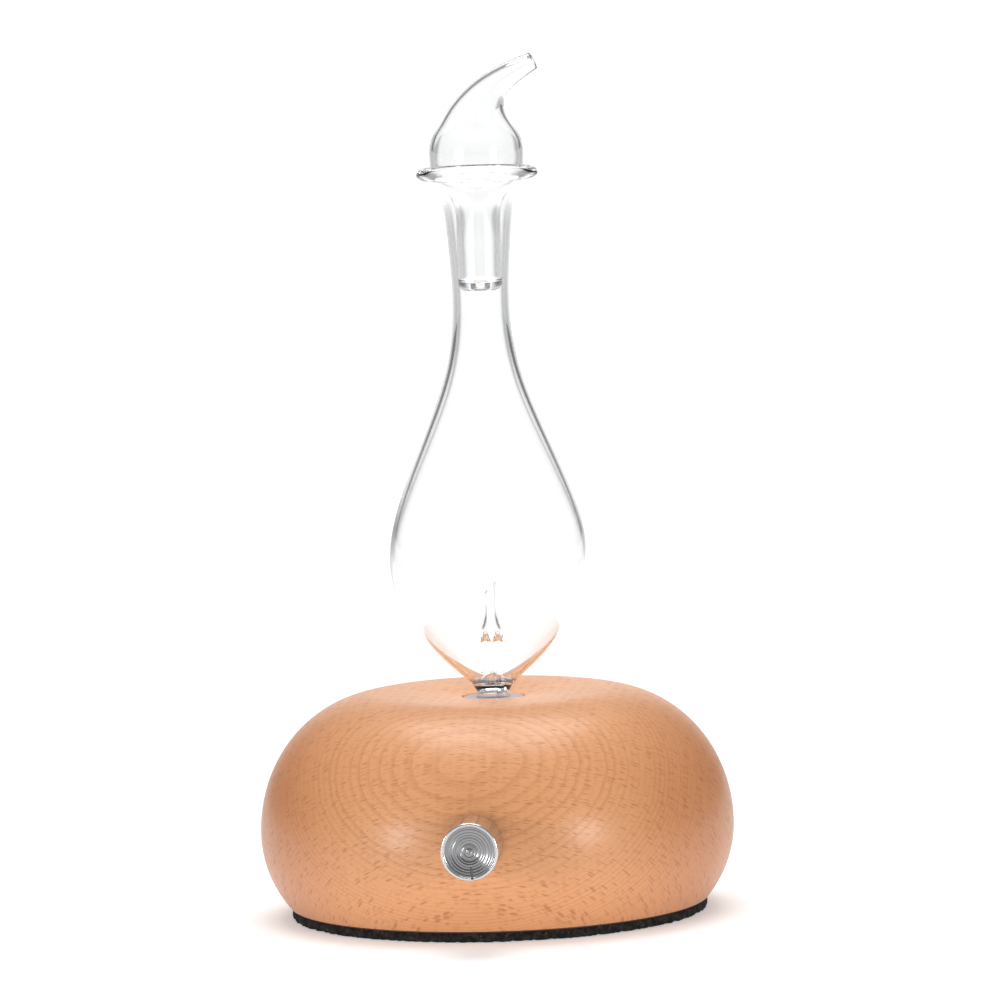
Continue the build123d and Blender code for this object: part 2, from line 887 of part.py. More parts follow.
def jack_nut():
    z1 = jack_pocket_face
    return REAR * hexagon_nut(
        jack_nut_across_flats, jack_barrel_radius + running_gap, z1 - jack_nut_thickness, z1
    )


# ---- Control board ----
def board_hole_places():
    x = main_board_length / 2 - board_hole_inset
    y = main_board_width / 2 - board_hole_inset
    return [(i * x, main_board_y + j * y) for i in (-1, 1) for j in (-1, 1)]


def on_board(x, y, length, width, height):
    """A box that stands on the control board."""
    return Pos(x, main_board_y + y, board_top_z + height / 2) * Box(length, width, height)


def main_board():
    """Circuit board that drives the pump and the lamps."""
    board = Pos(0, main_board_y, main_board_z + board_thickness / 2) * Box(
        main_board_length, main_board_width, board_thickness
    )
    return board - [
        rod(board_screw_radius + 0.2, main_board_z, board_top_z, x, y)
        for x, y in board_hole_places()
    ]


def board_posts():
    """Spacers between the floor plate and the control board."""
    return together(
        tube(board_post_radius, board_screw_radius + 0.2, floor_z, main_board_z, x, y)
        for x, y in board_hole_places()
    )


def board_screws():
    return together(
        rod(board_screw_radius, wood_z + 0.8, board_top_z, x, y)
        + rod(board_screw_head, board_top_z, board_top_z + 1.3, x, y)
        - Pos(x, y, board_top_z + 1.3) * Box(2.6, 0.6, 1.2)
        for x, y in board_hole_places()
    )


def capacitors():
    """Electrolytic cans with a rounded top edge."""
    cans = []
    for x, y in ((-18.0, 2.0), (-18.0, -5.5)):
        can = rod(3.1, board_top_z, board_top_z + 8.5, x, main_board_y + y)
        cans.append(fillet(can.edges().group_by(Axis.Z)[-1], 0.5))
    return together(cans)


def driver_chip():
    return on_board(-4.0, 3.0, 5.0, 6.0, 1.5)


def power_coil():
    return on_board(-9.0, -4.0, 6.5, 6.5, 3.5)


def plug_places():
    """Places of the wire connectors on the board, by what they lead to."""
    return {
        "control": (-4.0, -11.5),
        "jack": (13.5, 0.0),
        "lamps": (20.0, 0.0),
        "pump": (-10.0, 11.0),
    }


def wire_plugs():
    """Connector housings on the control board."""
    return together(
        on_board(x, y, 7.0 if name == "control" else 5.0, 4.0, 4.6)
        for name, (x, y) in plug_places().items()
    )


# ---- Air pump ----
def lid_screw_places():
    x = pump_length / 2 - pump_wall - 1.9
    y = pump_width / 2 - pump_wall - 1.9
    return [(i * x, pump_y + j * y) for i in (-1, 1) for j in (-1, 1)]


def pump_pads():
    """Foam under the pump that keeps its hum out of the wood."""
    half = pump_length / 2
    return together(
        block(x, x + 14, pump_y - pump_width / 2, pump_y + pump_width / 2, floor_z, pump_z)
        for x in (-half, half - 14)
    )


def pump_case():
    """Open case of the pump."""
    half_x, half_y = pump_length / 2, pump_width / 2
    case = block(-half_x, half_x, pump_y - half_y, pump_y + half_y, pump_z, pump_top_z)
    case -= block(
        -half_x + pump_wall, half_x - pump_wall,
        pump_y - half_y + pump_wall, pump_y + half_y - pump_wall,
        pump_floor_z, pump_top_z,
    )
    for x, y in lid_screw_places():
        post = rod(lid_post_radius, pump_floor_z, pump_top_z, x, y)
        case += post
        case -= rod(lid_screw_radius, pump_top_z - 8, pump_top_z, x, y)
    core_z = pump_axis_z - core_height / 2
    for side in (-1, 1):
        y = pump_y + side * (core_width - core_side_leg) / 2
        case += block(core_x + 1, core_front_x - 1, y - 1.2, y + 1.2, pump_floor_z, core_z)
    boss_z = pump_axis_z - arm_height / 2 - 0.6
    case += tube(pivot_boss_radius, pivot_pin_radius, pump_floor_z, boss_z, pivot_x, pump_y)
    port = barb_radius + 0.2
    case -= cross_rod(port, pump_y - half_y - 1, valve_front_y + 0.01, outlet_x, pump_axis_z)
    return case


def pump_lid():
    half_x, half_y = pump_length / 2, pump_width / 2
    top_z = pump_top_z + pump_lid_thickness
    lid = block(-half_x, half_x, pump_y - half_y, pump_y + half_y, pump_top_z, top_z)
    lid = fillet(lid.edges().filter_by(Axis.Z), 1.0)
    for x, y in lid_screw_places():
        lid -= rod(lid_screw_radius + 0.2, pump_top_z, top_z, x, y)
    lid -= block(
        coil_wire_x - 2.4, coil_wire_x + 2.4, pump_y - 1.2, pump_y + 1.2, pump_top_z, top_z
    )
    return lid - rod(pivot_pin_radius + running_gap, pump_top_z, pump_top_z + 1.2, pivot_x, pump_y)


def lid_screws():
    top_z = pump_top_z + pump_lid_thickness
    return together(
        rod(lid_screw_radius - running_gap, pump_top_z - 6, top_z, x, y)
        + rod(1.7, top_z, top_z + 1.0, x, y)
        - Pos(x, y, top_z + 1.0) * Box(2.2, 0.5, 0.9)
        for x, y in lid_screw_places()
    )


def pump_core():
    """E-shaped iron stack."""
    z0, z1 = pump_axis_z - core_height / 2, pump_axis_z + core_height / 2
    yoke_x = core_x + core_side_leg
    half = core_width / 2
    core = block(core_x, yoke_x, pump_y - half, pump_y + half, z0, z1)
    core += block(yoke_x, core_front_x, pump_y - half, pump_y - half + core_side_leg, z0, z1)
    core += block(yoke_x, core_front_x, pump_y + half - core_side_leg, pump_y + half, z0, z1)
    return core + block(yoke_x, core_front_x, pump_y - core_leg / 2, pump_y + core_leg / 2, z0, z1)


def bobbin_span():
    """Ends of the bobbin along X."""
    return core_x + core_side_leg + 0.2, core_front_x - 0.2


def coil_bobbin():
    """Flanged former round the middle leg of the core."""
    x0, x1 = bobbin_span()
    half_y = core_width / 2 - core_side_leg - 0.3
    hole_y = core_leg / 2 + running_gap
    hole_z = core_height / 2 + running_gap
    tube_y, tube_z = hole_y + bobbin_wall, hole_z + bobbin_wall
    bobbin = block(x0, x1, pump_y - tube_y, pump_y + tube_y, pump_axis_z - tube_z, pump_axis_z + tube_z)
    for x in (x0, x1 - 0.8):
        bobbin += block(
            x, x + 0.8, pump_y - half_y, pump_y + half_y,
            pump_axis_z - bobbin_height / 2, pump_axis_z + bobbin_height / 2,
        )
    return bobbin - block(
        x0 - 1, x1 + 1, pump_y - hole_y, pump_y + hole_y, pump_axis_z - hole_z, pump_axis_z + hole_z
    )


def coil_winding():
    """Copper winding on the bobbin."""
    x0, x1 = bobbin_span()
    half_y = core_width / 2 - core_side_leg - 0.6
    half_z = bobbin_height / 2 - 0.4
    tube_y = core_leg / 2 + 2 * running_gap + bobbin_wall
    tube_z = core_height / 2 + 2 * running_gap + bobbin_wall
    winding = block(
        x0 + 0.85, x1 - 0.85, pump_y - half_y, pump_y + half_y, pump_axis_z - half_z, pump_axis_z + half_z
    )
    winding = fillet(winding.edges().filter_by(Axis.X), 1.2)
    return winding - block(
        x0, x1, pump_y - tube_y, pump_y + tube_y, pump_axis_z - tube_z, pump_axis_z + tube_z
    )


def arm_magnet():
    """Magnet on the free end of the swing arm."""
    half = magnet_width / 2
    return block(
        magnet_x, arm_x, pump_y - half, pump_y + half,
        pump_axis_z - arm_height / 2, pump_axis_z + arm_height / 2,
    )


def swing_arm():
    """Lever that the coil shakes and that pushes the diaphragm."""
    z0, z1 = pump_axis_z - arm_height / 2, pump_axis_z + arm_height / 2
    half = magnet_width / 2
    arm = block(arm_x, arm_x + 2, pump_y - half, pump_y + half, z0, z1)
    arm += block(arm_x, pivot_x, pump_y - arm_thickness / 2, pump_y + arm_thickness / 2, z0, z1)
    arm += rod(pivot_boss_radius, z0, z1, pivot_x, pump_y)
    arm -= rod(pivot_pin_radius + running_gap, z0, z1, pivot_x, pump_y)
    return arm - cross_rod(
        stud_radius + running_gap, pump_y - arm_thickness, pump_y + arm_thickness, diaphragm_x, pump_axis_z
    )


def pivot_pin():
    return rod(pivot_pin_radius - 0.01, pump_floor_z, pump_top_z + 1.0, pivot_x, pump_y)


def diaphragm():
    """Rubber diaphragm with a rolled corrugation, seated on the valve plate."""
    y0, y1 = diaphragm_y - diaphragm_thickness, diaphragm_y
    disc = cross_rod(diaphragm_radius, y0, y1, diaphragm_x, pump_axis_z)
    disc -= cross_rod(chamber_radius, y0, y0 + 0.5, diaphragm_x, pump_axis_z)
    bend = cross_rod(chamber_radius - 0.4, y0 + 1.0, y1, diaphragm_x, pump_axis_z)
    bend -= cross_rod(chamber_radius - 2.4, y0 + 1.0, y1, diaphragm_x, pump_axis_z)
    return disc - bend - cross_rod(stud_radius + running_gap, y0, y1, diaphragm_x, pump_axis_z)


def diaphragm_stud():
    """Rivet that ties the middle of the diaphragm to the arm."""
    y0, y1 = diaphragm_y - diaphragm_thickness, diaphragm_y
    arm_front, arm_back = pump_y - arm_thickness / 2, pump_y + arm_thickness / 2
    runs = [
        (stud_head_radius, y0 - 0.35, y0 + 0.45),
        (stud_head_radius, y1 + 0.05, arm_front - 0.05),
        (stud_radius, y0, arm_back + 0.3),
        (stud_head_radius - 0.8, arm_back + 0.05, arm_back + 0.9),
    ]
    stud = [cross_rod(radius, start, end, diaphragm_x, pump_axis_z) for radius, start, end in runs]
    return stud[0] + stud[1:]


def valve_places():
    """X of the outlet and of the inlet valve."""
    return outlet_x, outlet_x + valve_spacing


def valve_half():
    return diaphragm_radius + 0.4


def valve_plate():
    """Plate with the working chamber under the diaphragm and a port to each valve."""
    half = valve_half()
    y0, y1 = valve_plate_y, valve_plate_y + valve_plate_thickness
    plate = block(diaphragm_x - half, diaphragm_x + half, y0, y1, pump_floor_z, pump_axis_z + half)
    plate -= cross_rod(chamber_radius, y1 - chamber_depth, y1, diaphragm_x, pump_axis_z)
    return plate - [cross_rod(0.7, y0, y1, x, pump_axis_z) for x in valve_places()]


def valve_block():
    """Block with the two valve rooms and the outlet tube."""
    half = valve_half()
    y0, y1 = valve_front_y, valve_plate_y
    body = block(diaphragm_x - half, diaphragm_x + half, y0, y1, pump_floor_z, pump_axis_z + half)
    outlet, inlet = valve_places()
    body -= [cross_rod(flap_radius + 0.4, y1 - 2.0, y1, x, pump_axis_z) for x in (outlet, inlet)]
    front_y = pump_y - pump_width / 2 - nozzle_tube_length
    body += cross_rod(barb_radius, front_y, y0, outlet, pump_axis_z)
    body -= cross_rod(barb_bore, front_y, y1 - 1.0, outlet, pump_axis_z)
    return body - rod(0.8, pump_axis_z, pump_axis_z + half, inlet, y1 - 1.2)


def valve_flaps():
    """Rubber flaps, one over each port."""
    y1 = valve_plate_y - 0.1
    return together(cross_rod(flap_radius, y1 - flap_thickness, y1, x, pump_axis_z) for x in valve_places())


def hose_route():
    """From the pump outlet forward, up in a half turn and back to the socket."""
    low = (outlet_x, pump_y - pump_width / 2 - 0.2, pump_axis_z)
    high = (0.0, -socket_radius - 0.2, barb_z)
    rise = high[2] - low[2]
    bend = rise / 2
    step = bend * tan(pi / 8)
    back = -socket_radius - barb_length - bend * 1.05
    return [
        low,
        (low[0], back + bend - step, low[2]),
        (low[0] * 0.75, back, low[2] + bend - step),
        (low[0] * 0.25, back, low[2] + bend + step),
        (high[0], back + bend - step, high[2]),
        high,
    ]


def air_hose():
    """Silicone hose from the pump to the stem socket."""
    return flexible(hose_route(), hose_radius, barb_radius + running_gap)


# ---- Wires ----
def plug_top(name):
    x, y = plug_places()[name]
    return x, main_board_y + y, board_top_z + 4.6


def control_wires():
    """Wires from the board to the rotary control."""
    x, y, z = plug_top("control")
    tabs = -(control_face - control_plate_thickness - control_can_length - control_wafer_thickness)
    tab_z = knob_z - control_can_radius - 2.0
    route = [
        (x, y, z),
        (x, y, z + 5.0),
        (x + 1.8, y - 6.0, z + 7.6),
        (0.0, tabs + 6.5, tab_z + 1.8),
        (0.0, tabs + 0.9, tab_z + 0.6),
    ]
    return ribbon(route, 3, terminal_pitch)


def jack_wires():
    """Wires from the power inlet over the pump to the board."""
    x, y, z = plug_top("jack")
    tabs = jack_flange_back + jack_flange_thickness - jack_length - 4.2
    over_z = pump_top_z + pump_lid_thickness + 5.0
    route = [
        (x, y, z),
        (x, y, z + 7.0),
        (x + 1.0, y + 8.0, z + 15.0),
        (x - 1.0, y + 23.0, over_z - 1.0),
        (x - 3.0, y + 42.0, over_z),
        (x - 8.0, tabs - 7.6, over_z - 4.0),
        (6.0, tabs - 4.6, jack_z + 4.5),
        (2.8, tabs - 4.4, jack_z + 0.4),
        (2.8, tabs, jack_z),
    ]
    return ribbon(route, 2)


def lamp_wires():
    """Wires from the board up to the lamp board."""
    x, y, z = plug_top("lamps")
    top_z = lamp_board_z + wire_radius + 0.1
    route = [
        (x, y, z),
        (x, y, z + 6.0),
        (x + 6.5, y + 3.0, z + 13.0),
        (lamp_board_radius + 6.0, y + 12.0, top_z - 7.0),
        (lamp_board_radius + 4.4, -1.0, top_z + 0.4),
        (lamp_board_radius - 3.4, 0.0, top_z),
    ]
    return ribbon(route, 2, across=(0, 1))


def pump_wires():
    """Wires from the board to the coil, through a slot in the pump lid."""
    x, y, z = plug_top("pump")
    over_z = pump_top_z + pump_lid_thickness + 4.6
    route = [
        (x, y, z),
        (x, y, z + 8.0),
        (x - 1.0, y + 7.0, over_z - 3.5),
        (coil_wire_x, y + 17.0, over_z),
        (coil_wire_x, pump_y, over_z - 0.4),
        (coil_wire_x, pump_y, pump_axis_z + bobbin_height / 2 - 0.2),
    ]
    return ribbon(route, 2)


PIECES = [
    foot_pad, pad_tape, base_plate, plate_screws, wood_base,
    light_ring, lamp_board, lamps, lamp_spacers, air_socket, socket_screws, stem_seal,
    glass_bottle, jet_tubes, jet_nozzle, glass_cap,
    knob_shell, knob_insert, control_shaft, control_wiper, control_plate, control_can,
    control_wafer, control_terminals, control_washer, control_nut,
    jack_body, jack_pin, jack_terminals, jack_nut,
    main_board, board_posts, board_screws, capacitors, driver_chip, power_coil, wire_plugs,
    pump_pads, pump_case, pump_lid, lid_screws, pump_core, coil_bobbin, coil_winding,
    arm_magnet, swing_arm, pivot_pin, diaphragm, diaphragm_stud, valve_plate, valve_block,
    valve_flaps, air_hose, control_wires, jack_wires, lamp_wires, pump_wires,
]

os.makedirs("parts", exist_ok=True)
for piece in PIECES:
    export_step(piece(), f"parts/{piece.__name__}.step")
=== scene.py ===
"""Nebulising essential oil diffuser: turned beech base, blown glass bottle and spout cap, spun metal knob.

Laid out as an add-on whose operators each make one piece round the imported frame, and run as a script.
"""

import math

import bmesh
import bpy
import numpy as np
from bpy.props import FloatProperty, FloatVectorProperty, IntProperty, PointerProperty
from mathutils import Matrix, Vector


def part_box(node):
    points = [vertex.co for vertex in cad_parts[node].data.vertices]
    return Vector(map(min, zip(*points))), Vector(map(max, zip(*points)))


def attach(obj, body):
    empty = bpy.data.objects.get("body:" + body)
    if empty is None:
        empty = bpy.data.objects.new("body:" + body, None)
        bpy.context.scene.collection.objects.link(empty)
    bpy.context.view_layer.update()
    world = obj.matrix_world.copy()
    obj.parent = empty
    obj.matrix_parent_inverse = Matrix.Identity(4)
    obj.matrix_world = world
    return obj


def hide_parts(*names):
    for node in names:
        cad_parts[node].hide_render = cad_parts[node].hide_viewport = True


bl_info = {
    "name": "Essential Oil Diffuser",
    "version": (1, 0, 0),
    "blender": (4, 5, 0),
    "location": "View3D > Sidebar > Diffuser",
    "description": "Makes the visible pieces of a nebulising essential oil diffuser",
    "category": "Object",
}

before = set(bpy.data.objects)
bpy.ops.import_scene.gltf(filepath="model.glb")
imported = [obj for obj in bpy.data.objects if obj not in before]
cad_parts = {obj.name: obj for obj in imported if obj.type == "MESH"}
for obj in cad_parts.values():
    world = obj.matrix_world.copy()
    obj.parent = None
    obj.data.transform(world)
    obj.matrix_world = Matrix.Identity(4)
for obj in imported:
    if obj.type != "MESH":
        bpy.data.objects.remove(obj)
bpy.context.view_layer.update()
MM = 0.001
FULL_TURN = 2 * math.pi
ROUND_HANDLE = 0.5523
FRONT_BEARING = -90 + 5.35
ACROSS = (0.995, 0.09, 0.0)
TO_BACK = (-0.09, 0.995, 0.0)


# ---- Places and sizes that come from the frame, in millimetres ----
def span(node, axis):
    """Lowest and highest place of a node along one axis, in millimetres."""
    low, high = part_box(node)
    return low[axis] / MM, high[axis] / MM


BASE_RADIUS = span("wood_base", 0)[1]
WOOD_Z, CREST_Z = span("wood_base", 2)
PAD_Z, PAD_TOP = span("foot_pad", 2)
PAD_RADIUS = span("foot_pad", 0)[1]
RING_Z = span("light_ring", 2)[1]
CEILING_Z = 46.0
KNOB_FRONT, KNOB_BACK = (-y for y in span("knob_shell", 1))
KNOB_RADIUS = span("knob_shell", 0)[1]
KNOB_Z = sum(span("knob_shell", 2)) / 2
JACK_Z = sum(span("jack_body", 2)) / 2
STEM_Z = span("glass_bottle", 2)[0]
LIP_Z = span("glass_bottle", 2)[1]
BELLY_RADIUS = span("glass_bottle", 0)[1]
LIP_RADIUS = 16.6
CAP_FOOT_Z = span("glass_cap", 2)[0]
BOTTLE_FLOOR_Z = span("jet_tubes", 2)[0]
JET_TOP = span("jet_tubes", 2)[1]
NOZZLE_Z, NOZZLE_TOP = span("jet_nozzle", 2)
JET_SPACING = 1.65
CAP_WALL = 1.0
DRAIN_RADIUS = 1.9
BELLY_START = (0.75, 0.66)
LIP_START = (0.85, 0.53)
FACE_DISH = 0.35


# ---- Sizes and colours that a user may change ----
class DiffuserWood(bpy.types.PropertyGroup):
    steps: IntProperty(name="Turning steps", description="Facets round the turned wood", default=256, min=64)
    light: FloatVectorProperty(
        name="Early wood", description="Pale colour between growth rings", subtype="COLOR",
        default=(0.74, 0.350, 0.158), min=0, max=1,
    )
    dark: FloatVectorProperty(
        name="Late wood", description="Darker colour of the growth rings", subtype="COLOR",
        default=(0.55, 0.222, 0.085), min=0, max=1,
    )
    fleck: FloatVectorProperty(
        name="Ray fleck", description="Colour of the short ray flecks", subtype="COLOR",
        default=(0.36, 0.115, 0.038), min=0, max=1,
    )
    # Partly the darker end grain and partly painted side shade, multiplied into the wood's colour towards
    # both sides.
    ends_and_painted_shade: FloatVectorProperty(
        name="End grain", description="How the fibre ends at both sides darken the wood", subtype="COLOR",
        default=(0.70, 0.58, 0.50), min=0, max=1,
    )
    ring_spacing: FloatProperty(
        name="Ring spacing", description="Distance between growth rings", default=1.15 * MM,
        subtype="DISTANCE", unit="LENGTH", min=0.2 * MM,
    )


class DiffuserGlass(bpy.types.PropertyGroup):
    steps: IntProperty(name="Glass steps", description="Facets round the blown glass", default=160, min=48)
    wall: FloatProperty(
        name="Bottle wall", description="Wall of the blown bottle", default=1.2 * MM,
        subtype="DISTANCE", unit="LENGTH", min=0.3 * MM,
    )
    tint: FloatVectorProperty(
        name="Tint", description="Colour that the glass lets through", subtype="COLOR",
        default=(0.985, 0.99, 0.99), min=0, max=1,
    )


class DiffuserMetal(bpy.types.PropertyGroup):
    colour: FloatVectorProperty(
        name="Metal", description="Colour of the turned aluminium", subtype="COLOR",
        default=(0.66, 0.66, 0.67), min=0, max=1,
    )
    ring_pitch: FloatProperty(
        name="Tool mark pitch", description="Distance between the fine rings on the knob's face",
        default=0.12 * MM, subtype="DISTANCE", unit="LENGTH", min=0.02 * MM,
    )


class DiffuserStage(bpy.types.PropertyGroup):
    floor_glow: FloatProperty(
        name="Floor glow", description="Light given off by the floor at the object", default=0.36, min=0,
    )
    far_glow: FloatProperty(
        name="Far glow", description="Light given off by the floor farther away", default=0.76, min=0,
    )
    side_loss: FloatProperty(
        name="Side loss", description="How much darker the floor is at both sides", default=0.80, min=0,
    )
    key_power: FloatProperty(name="Side windows", description="Power of each side light", default=6.0, min=0)
    top_power: FloatProperty(
        name="Top window", description="Power of the overhead light", default=15.5, min=0,
    )


# ---- Modelling by hand, in code ----
def deselect():
    if bpy.context.object and bpy.context.object.mode != "OBJECT":
        bpy.ops.object.mode_set(mode="OBJECT")
    bpy.ops.object.select_all(action="DESELECT")


def pick(obj):
    deselect()
    obj.select_set(True)
    bpy.context.view_layer.objects.active = obj


class Outline:
    """Half section of a turned piece: (radius, height) knots with handles, in millimetres."""

    def __init__(self, *start):
        self.knots = [[Vector(start), None, None]]

    def here(self):
        return self.knots[-1][0]

    def line(self, *points):
        for point in points:
            self.knots[-1][2] = None
            self.knots.append([Vector(point), None, None])
        return self

    def bow(self, end, leaving, arriving):
        """One curved span with both its handles given."""
        self.knots[-1][2] = Vector(leaving)
        self.knots.append([Vector(end), Vector(arriving), None])
        return self

    def arc(self, end, direction):
        """Circular arc to end that leaves in the given direction."""
        start = self.here()
        chord = Vector(end) - start
        way = Vector(direction).normalized()
        half = way.angle(chord)
        reach = 4 / 3 * math.tan(half / 2) * chord.length / (2 * math.sin(half))
        along = chord.normalized()
        leaving = 2 * way.dot(along) * along - way
        return self.bow(end, start + way * reach, Vector(end) - leaving * reach)

    def quarter(self, end, upright_first=True):
        """Quarter of an ellipse to end, starting upright or level."""
        start = self.here()
        end = Vector(end)
        if upright_first:
            return self.bow(
                end,
                (start.x, start.y + (end.y - start.y) * ROUND_HANDLE),
                (end.x + (start.x - end.x) * ROUND_HANDLE, end.y),
            )
        return self.bow(
            end,
            (start.x + (end.x - start.x) * ROUND_HANDLE, start.y),
            (end.x, end.y + (start.y - end.y) * ROUND_HANDLE),
        )

    def smooth(self, points, enter, leave):
        """Curve without kinks through points, with its directions at the first and the last point."""
        path = [self.here()] + [Vector(p) for p in points]
        slopes, steps = easy_slopes(path, enter, leave)
        for i, end in enumerate(path[1:]):
            third = steps[i] / 3
            self.bow(end, path[i] + slopes[i] * third, end - slopes[i + 1] * third)
        return self


def easy_slopes(path, enter, leave, steps=None):
    """Directions at each point of the smoothest curve through path, and the distances between points."""
    steps = steps or [(b - a).length for a, b in zip(path, path[1:])]
    count = len(path)
    matrix = np.zeros((count, count))
    known = np.zeros((count, len(path[0])))
    matrix[0, 0] = matrix[-1, -1] = 1
    known[0] = Vector(enter) / Vector(enter[:2]).length
    known[-1] = Vector(leave) / Vector(leave[:2]).length
    for i in range(1, count - 1):
        before, after = steps[i - 1], steps[i]
        matrix[i, i - 1 : i + 2] = after, 2 * (before + after), before
        rise = (path[i + 1] - path[i]) / after * before + (path[i] - path[i - 1]) / before * after
        known[i] = 3 * rise
    return [Vector(row) for row in np.linalg.solve(matrix, known)], steps


def drawn(name, outline, resolution):
    """The outline as a Bezier curve in the XZ plane, turned into a mesh of edges."""
    deselect()
    bpy.ops.curve.primitive_bezier_curve_add(location=(0, 0, 0))
    obj = bpy.context.object
    obj.name = name
    spline = obj.data.splines[0]
    spline.resolution_u = resolution
    spline.bezier_points.add(len(outline.knots) - 2)
    for point, (place, left, right) in zip(spline.bezier_points, outline.knots):
        point.handle_left_type = "VECTOR" if left is None else "FREE"
        point.handle_right_type = "VECTOR" if right is None else "FREE"
        point.co = flat(place)
    for point, (place, left, right) in zip(spline.bezier_points, outline.knots):
        if left is not None:
            point.handle_left = flat(left)
        if right is not None:
            point.handle_right = flat(right)
    pick(obj)
    bpy.ops.object.convert(target="MESH")
    return bpy.context.object


def flat(place):
    return Vector((place[0] * MM, 0, place[1] * MM))


def tidy_mesh():
    """Merges what coincides and points all faces outwards, in edit mode."""
    bpy.ops.mesh.select_all(action="SELECT")
    bpy.ops.mesh.remove_doubles(threshold=0.003 * MM)
    bpy.ops.mesh.select_all(action="SELECT")
    bpy.ops.mesh.normals_make_consistent(inside=False)


def turned(name, outline, steps, resolution=12):
    """A piece turned round the upright axis from its half section."""
    obj = drawn(name, outline, resolution)
    bpy.ops.object.mode_set(mode="EDIT")
    bpy.ops.mesh.select_all(action="SELECT")
    bpy.ops.mesh.remove_doubles(threshold=0.003 * MM)
    bpy.ops.mesh.select_all(action="SELECT")
    bpy.ops.mesh.spin(steps=steps, angle=FULL_TURN, center=(0, 0, 0), axis=(0, 0, 1))
    tidy_mesh()
    bpy.ops.object.mode_set(mode="OBJECT")
    return obj


def ring_place(centre, radius, lean):
    """Where a unit circle goes to be one leaning ring, in metres."""
    move = Matrix.Translation((centre[0] * MM, 0, centre[1] * MM))
    turn = Matrix.Rotation(math.radians(lean), 4, "Y")
    return move @ turn @ Matrix.Diagonal((radius * MM, radius * MM, radius * MM, 1))


def ring_shell(name, rings, segments):
    """A closed wall pulled out ring by ring, with the last ring meeting the first."""
    deselect()
    bpy.ops.mesh.primitive_circle_add(vertices=segments, radius=1, fill_type="NOTHING")
    obj = bpy.context.object
    obj.name = name
    bpy.ops.object.mode_set(mode="EDIT")
    bpy.ops.mesh.select_all(action="SELECT")
    mesh = bmesh.from_edit_mesh(obj.data)
    place = Matrix.Identity(4)
    for number, ring in enumerate(rings):
        if number:
            bpy.ops.mesh.extrude_edges_move()
            mesh = bmesh.from_edit_mesh(obj.data)
        change = ring_place(*ring) @ place.inverted()
        for vertex in mesh.verts:
            if vertex.select:
                vertex.co = change @ vertex.co
        place = ring_place(*ring)
    bmesh.update_edit_mesh(obj.data)
    tidy_mesh()
    bpy.ops.object.mode_set(mode="OBJECT")
    return obj


def plug_round(radius, z0, z1, x=0.0, y=0.0, sides=64):
    """A round cutter between two heights."""
    deselect()
    bpy.ops.mesh.primitive_cylinder_add(
        vertices=sides, radius=radius * MM, depth=(z1 - z0) * MM,
        location=(x * MM, y * MM, (z0 + z1) / 2 * MM),
    )
    return bpy.context.object


def plug_across(radius, y0, y1, x, z, sides=64):
    """A round cutter along Y."""
    deselect()
    bpy.ops.mesh.primitive_cylinder_add(
        vertices=sides, radius=radius * MM, depth=(y1 - y0) * MM,
        location=(x * MM, (y0 + y1) / 2 * MM, z * MM), rotation=(math.pi / 2, 0, 0),
    )
    return bpy.context.object


def plug_block(low, high):
    """A square cutter between two corners."""
    deselect()
    middle = [(a + b) / 2 * MM for a, b in zip(low, high)]
    size = [(b - a) * MM for a, b in zip(low, high)]
    bpy.ops.mesh.primitive_cube_add(size=1, location=middle, scale=size)
    return bpy.context.object


def cut(obj, cutter):
    """Takes the cutter's shape out of a piece and removes the cutter."""
    pick(obj)
    change = obj.modifiers.new("cut", "BOOLEAN")
    change.operation = "DIFFERENCE"
    change.solver = "EXACT"
    change.object = cutter
    bpy.ops.object.modifier_apply(modifier=change.name)
    pick(cutter)
    bpy.ops.object.delete()
    pick(obj)


def hand_over(obj, body, slot, nodes, material, crease=35):
    """Gives a finished piece its shading, body, finish and the CAD nodes that it stands for."""
    pick(obj)
    bpy.ops.object.transform_apply(location=True, rotation=True, scale=True)
    bpy.ops.object.shade_smooth_by_angle(angle=math.radians(crease), keep_sharp_edges=False)
    obj.data.materials.clear()
    obj.data.materials.append(material)
    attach(obj, body)
    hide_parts(*nodes)
    obj.visible_shadow = slot != "glass"
    deselect()
    return obj


# ---- Materials ----
class Val:
    """A shader socket that sums can be written with."""

    def __init__(self, shade, socket):
        self.shade = shade
        self.socket = socket

    def maths(self, operation, *others):
        return self.shade.node("ShaderNodeMath", {"operation": operation}, [self, *others])

    def __add__(self, other):
        return self.maths("ADD", other)

    __radd__ = __add__

    def __mul__(self, other):
        return self.maths("MULTIPLY", other)

    __rmul__ = __mul__

    def __sub__(self, other):
        return self.maths("SUBTRACT", other)

    def __rsub__(self, other):
        return self.shade.node("ShaderNodeMath", {"operation": "SUBTRACT"}, [other, self])

    def __truediv__(self, other):
        return self.maths("DIVIDE", other)

    def __neg__(self):
        return self * -1.0

    def part(self, axis):
        split = self.shade.node("ShaderNodeSeparateXYZ", {}, [self])
        return Val(self.shade, split.socket.node.outputs[axis])

    def clamp(self):
        return self.shade.node("ShaderNodeMath", {"operation": "ADD", "use_clamp": True}, [self, 0.0])

    def ease(self, low, high):
        """0 below low, 1 above high and smooth between."""
        return self.shade.node(
            "ShaderNodeMapRange", {"interpolation_type": "SMOOTHSTEP"}, [self, low, high, 0.0, 1.0]
        )


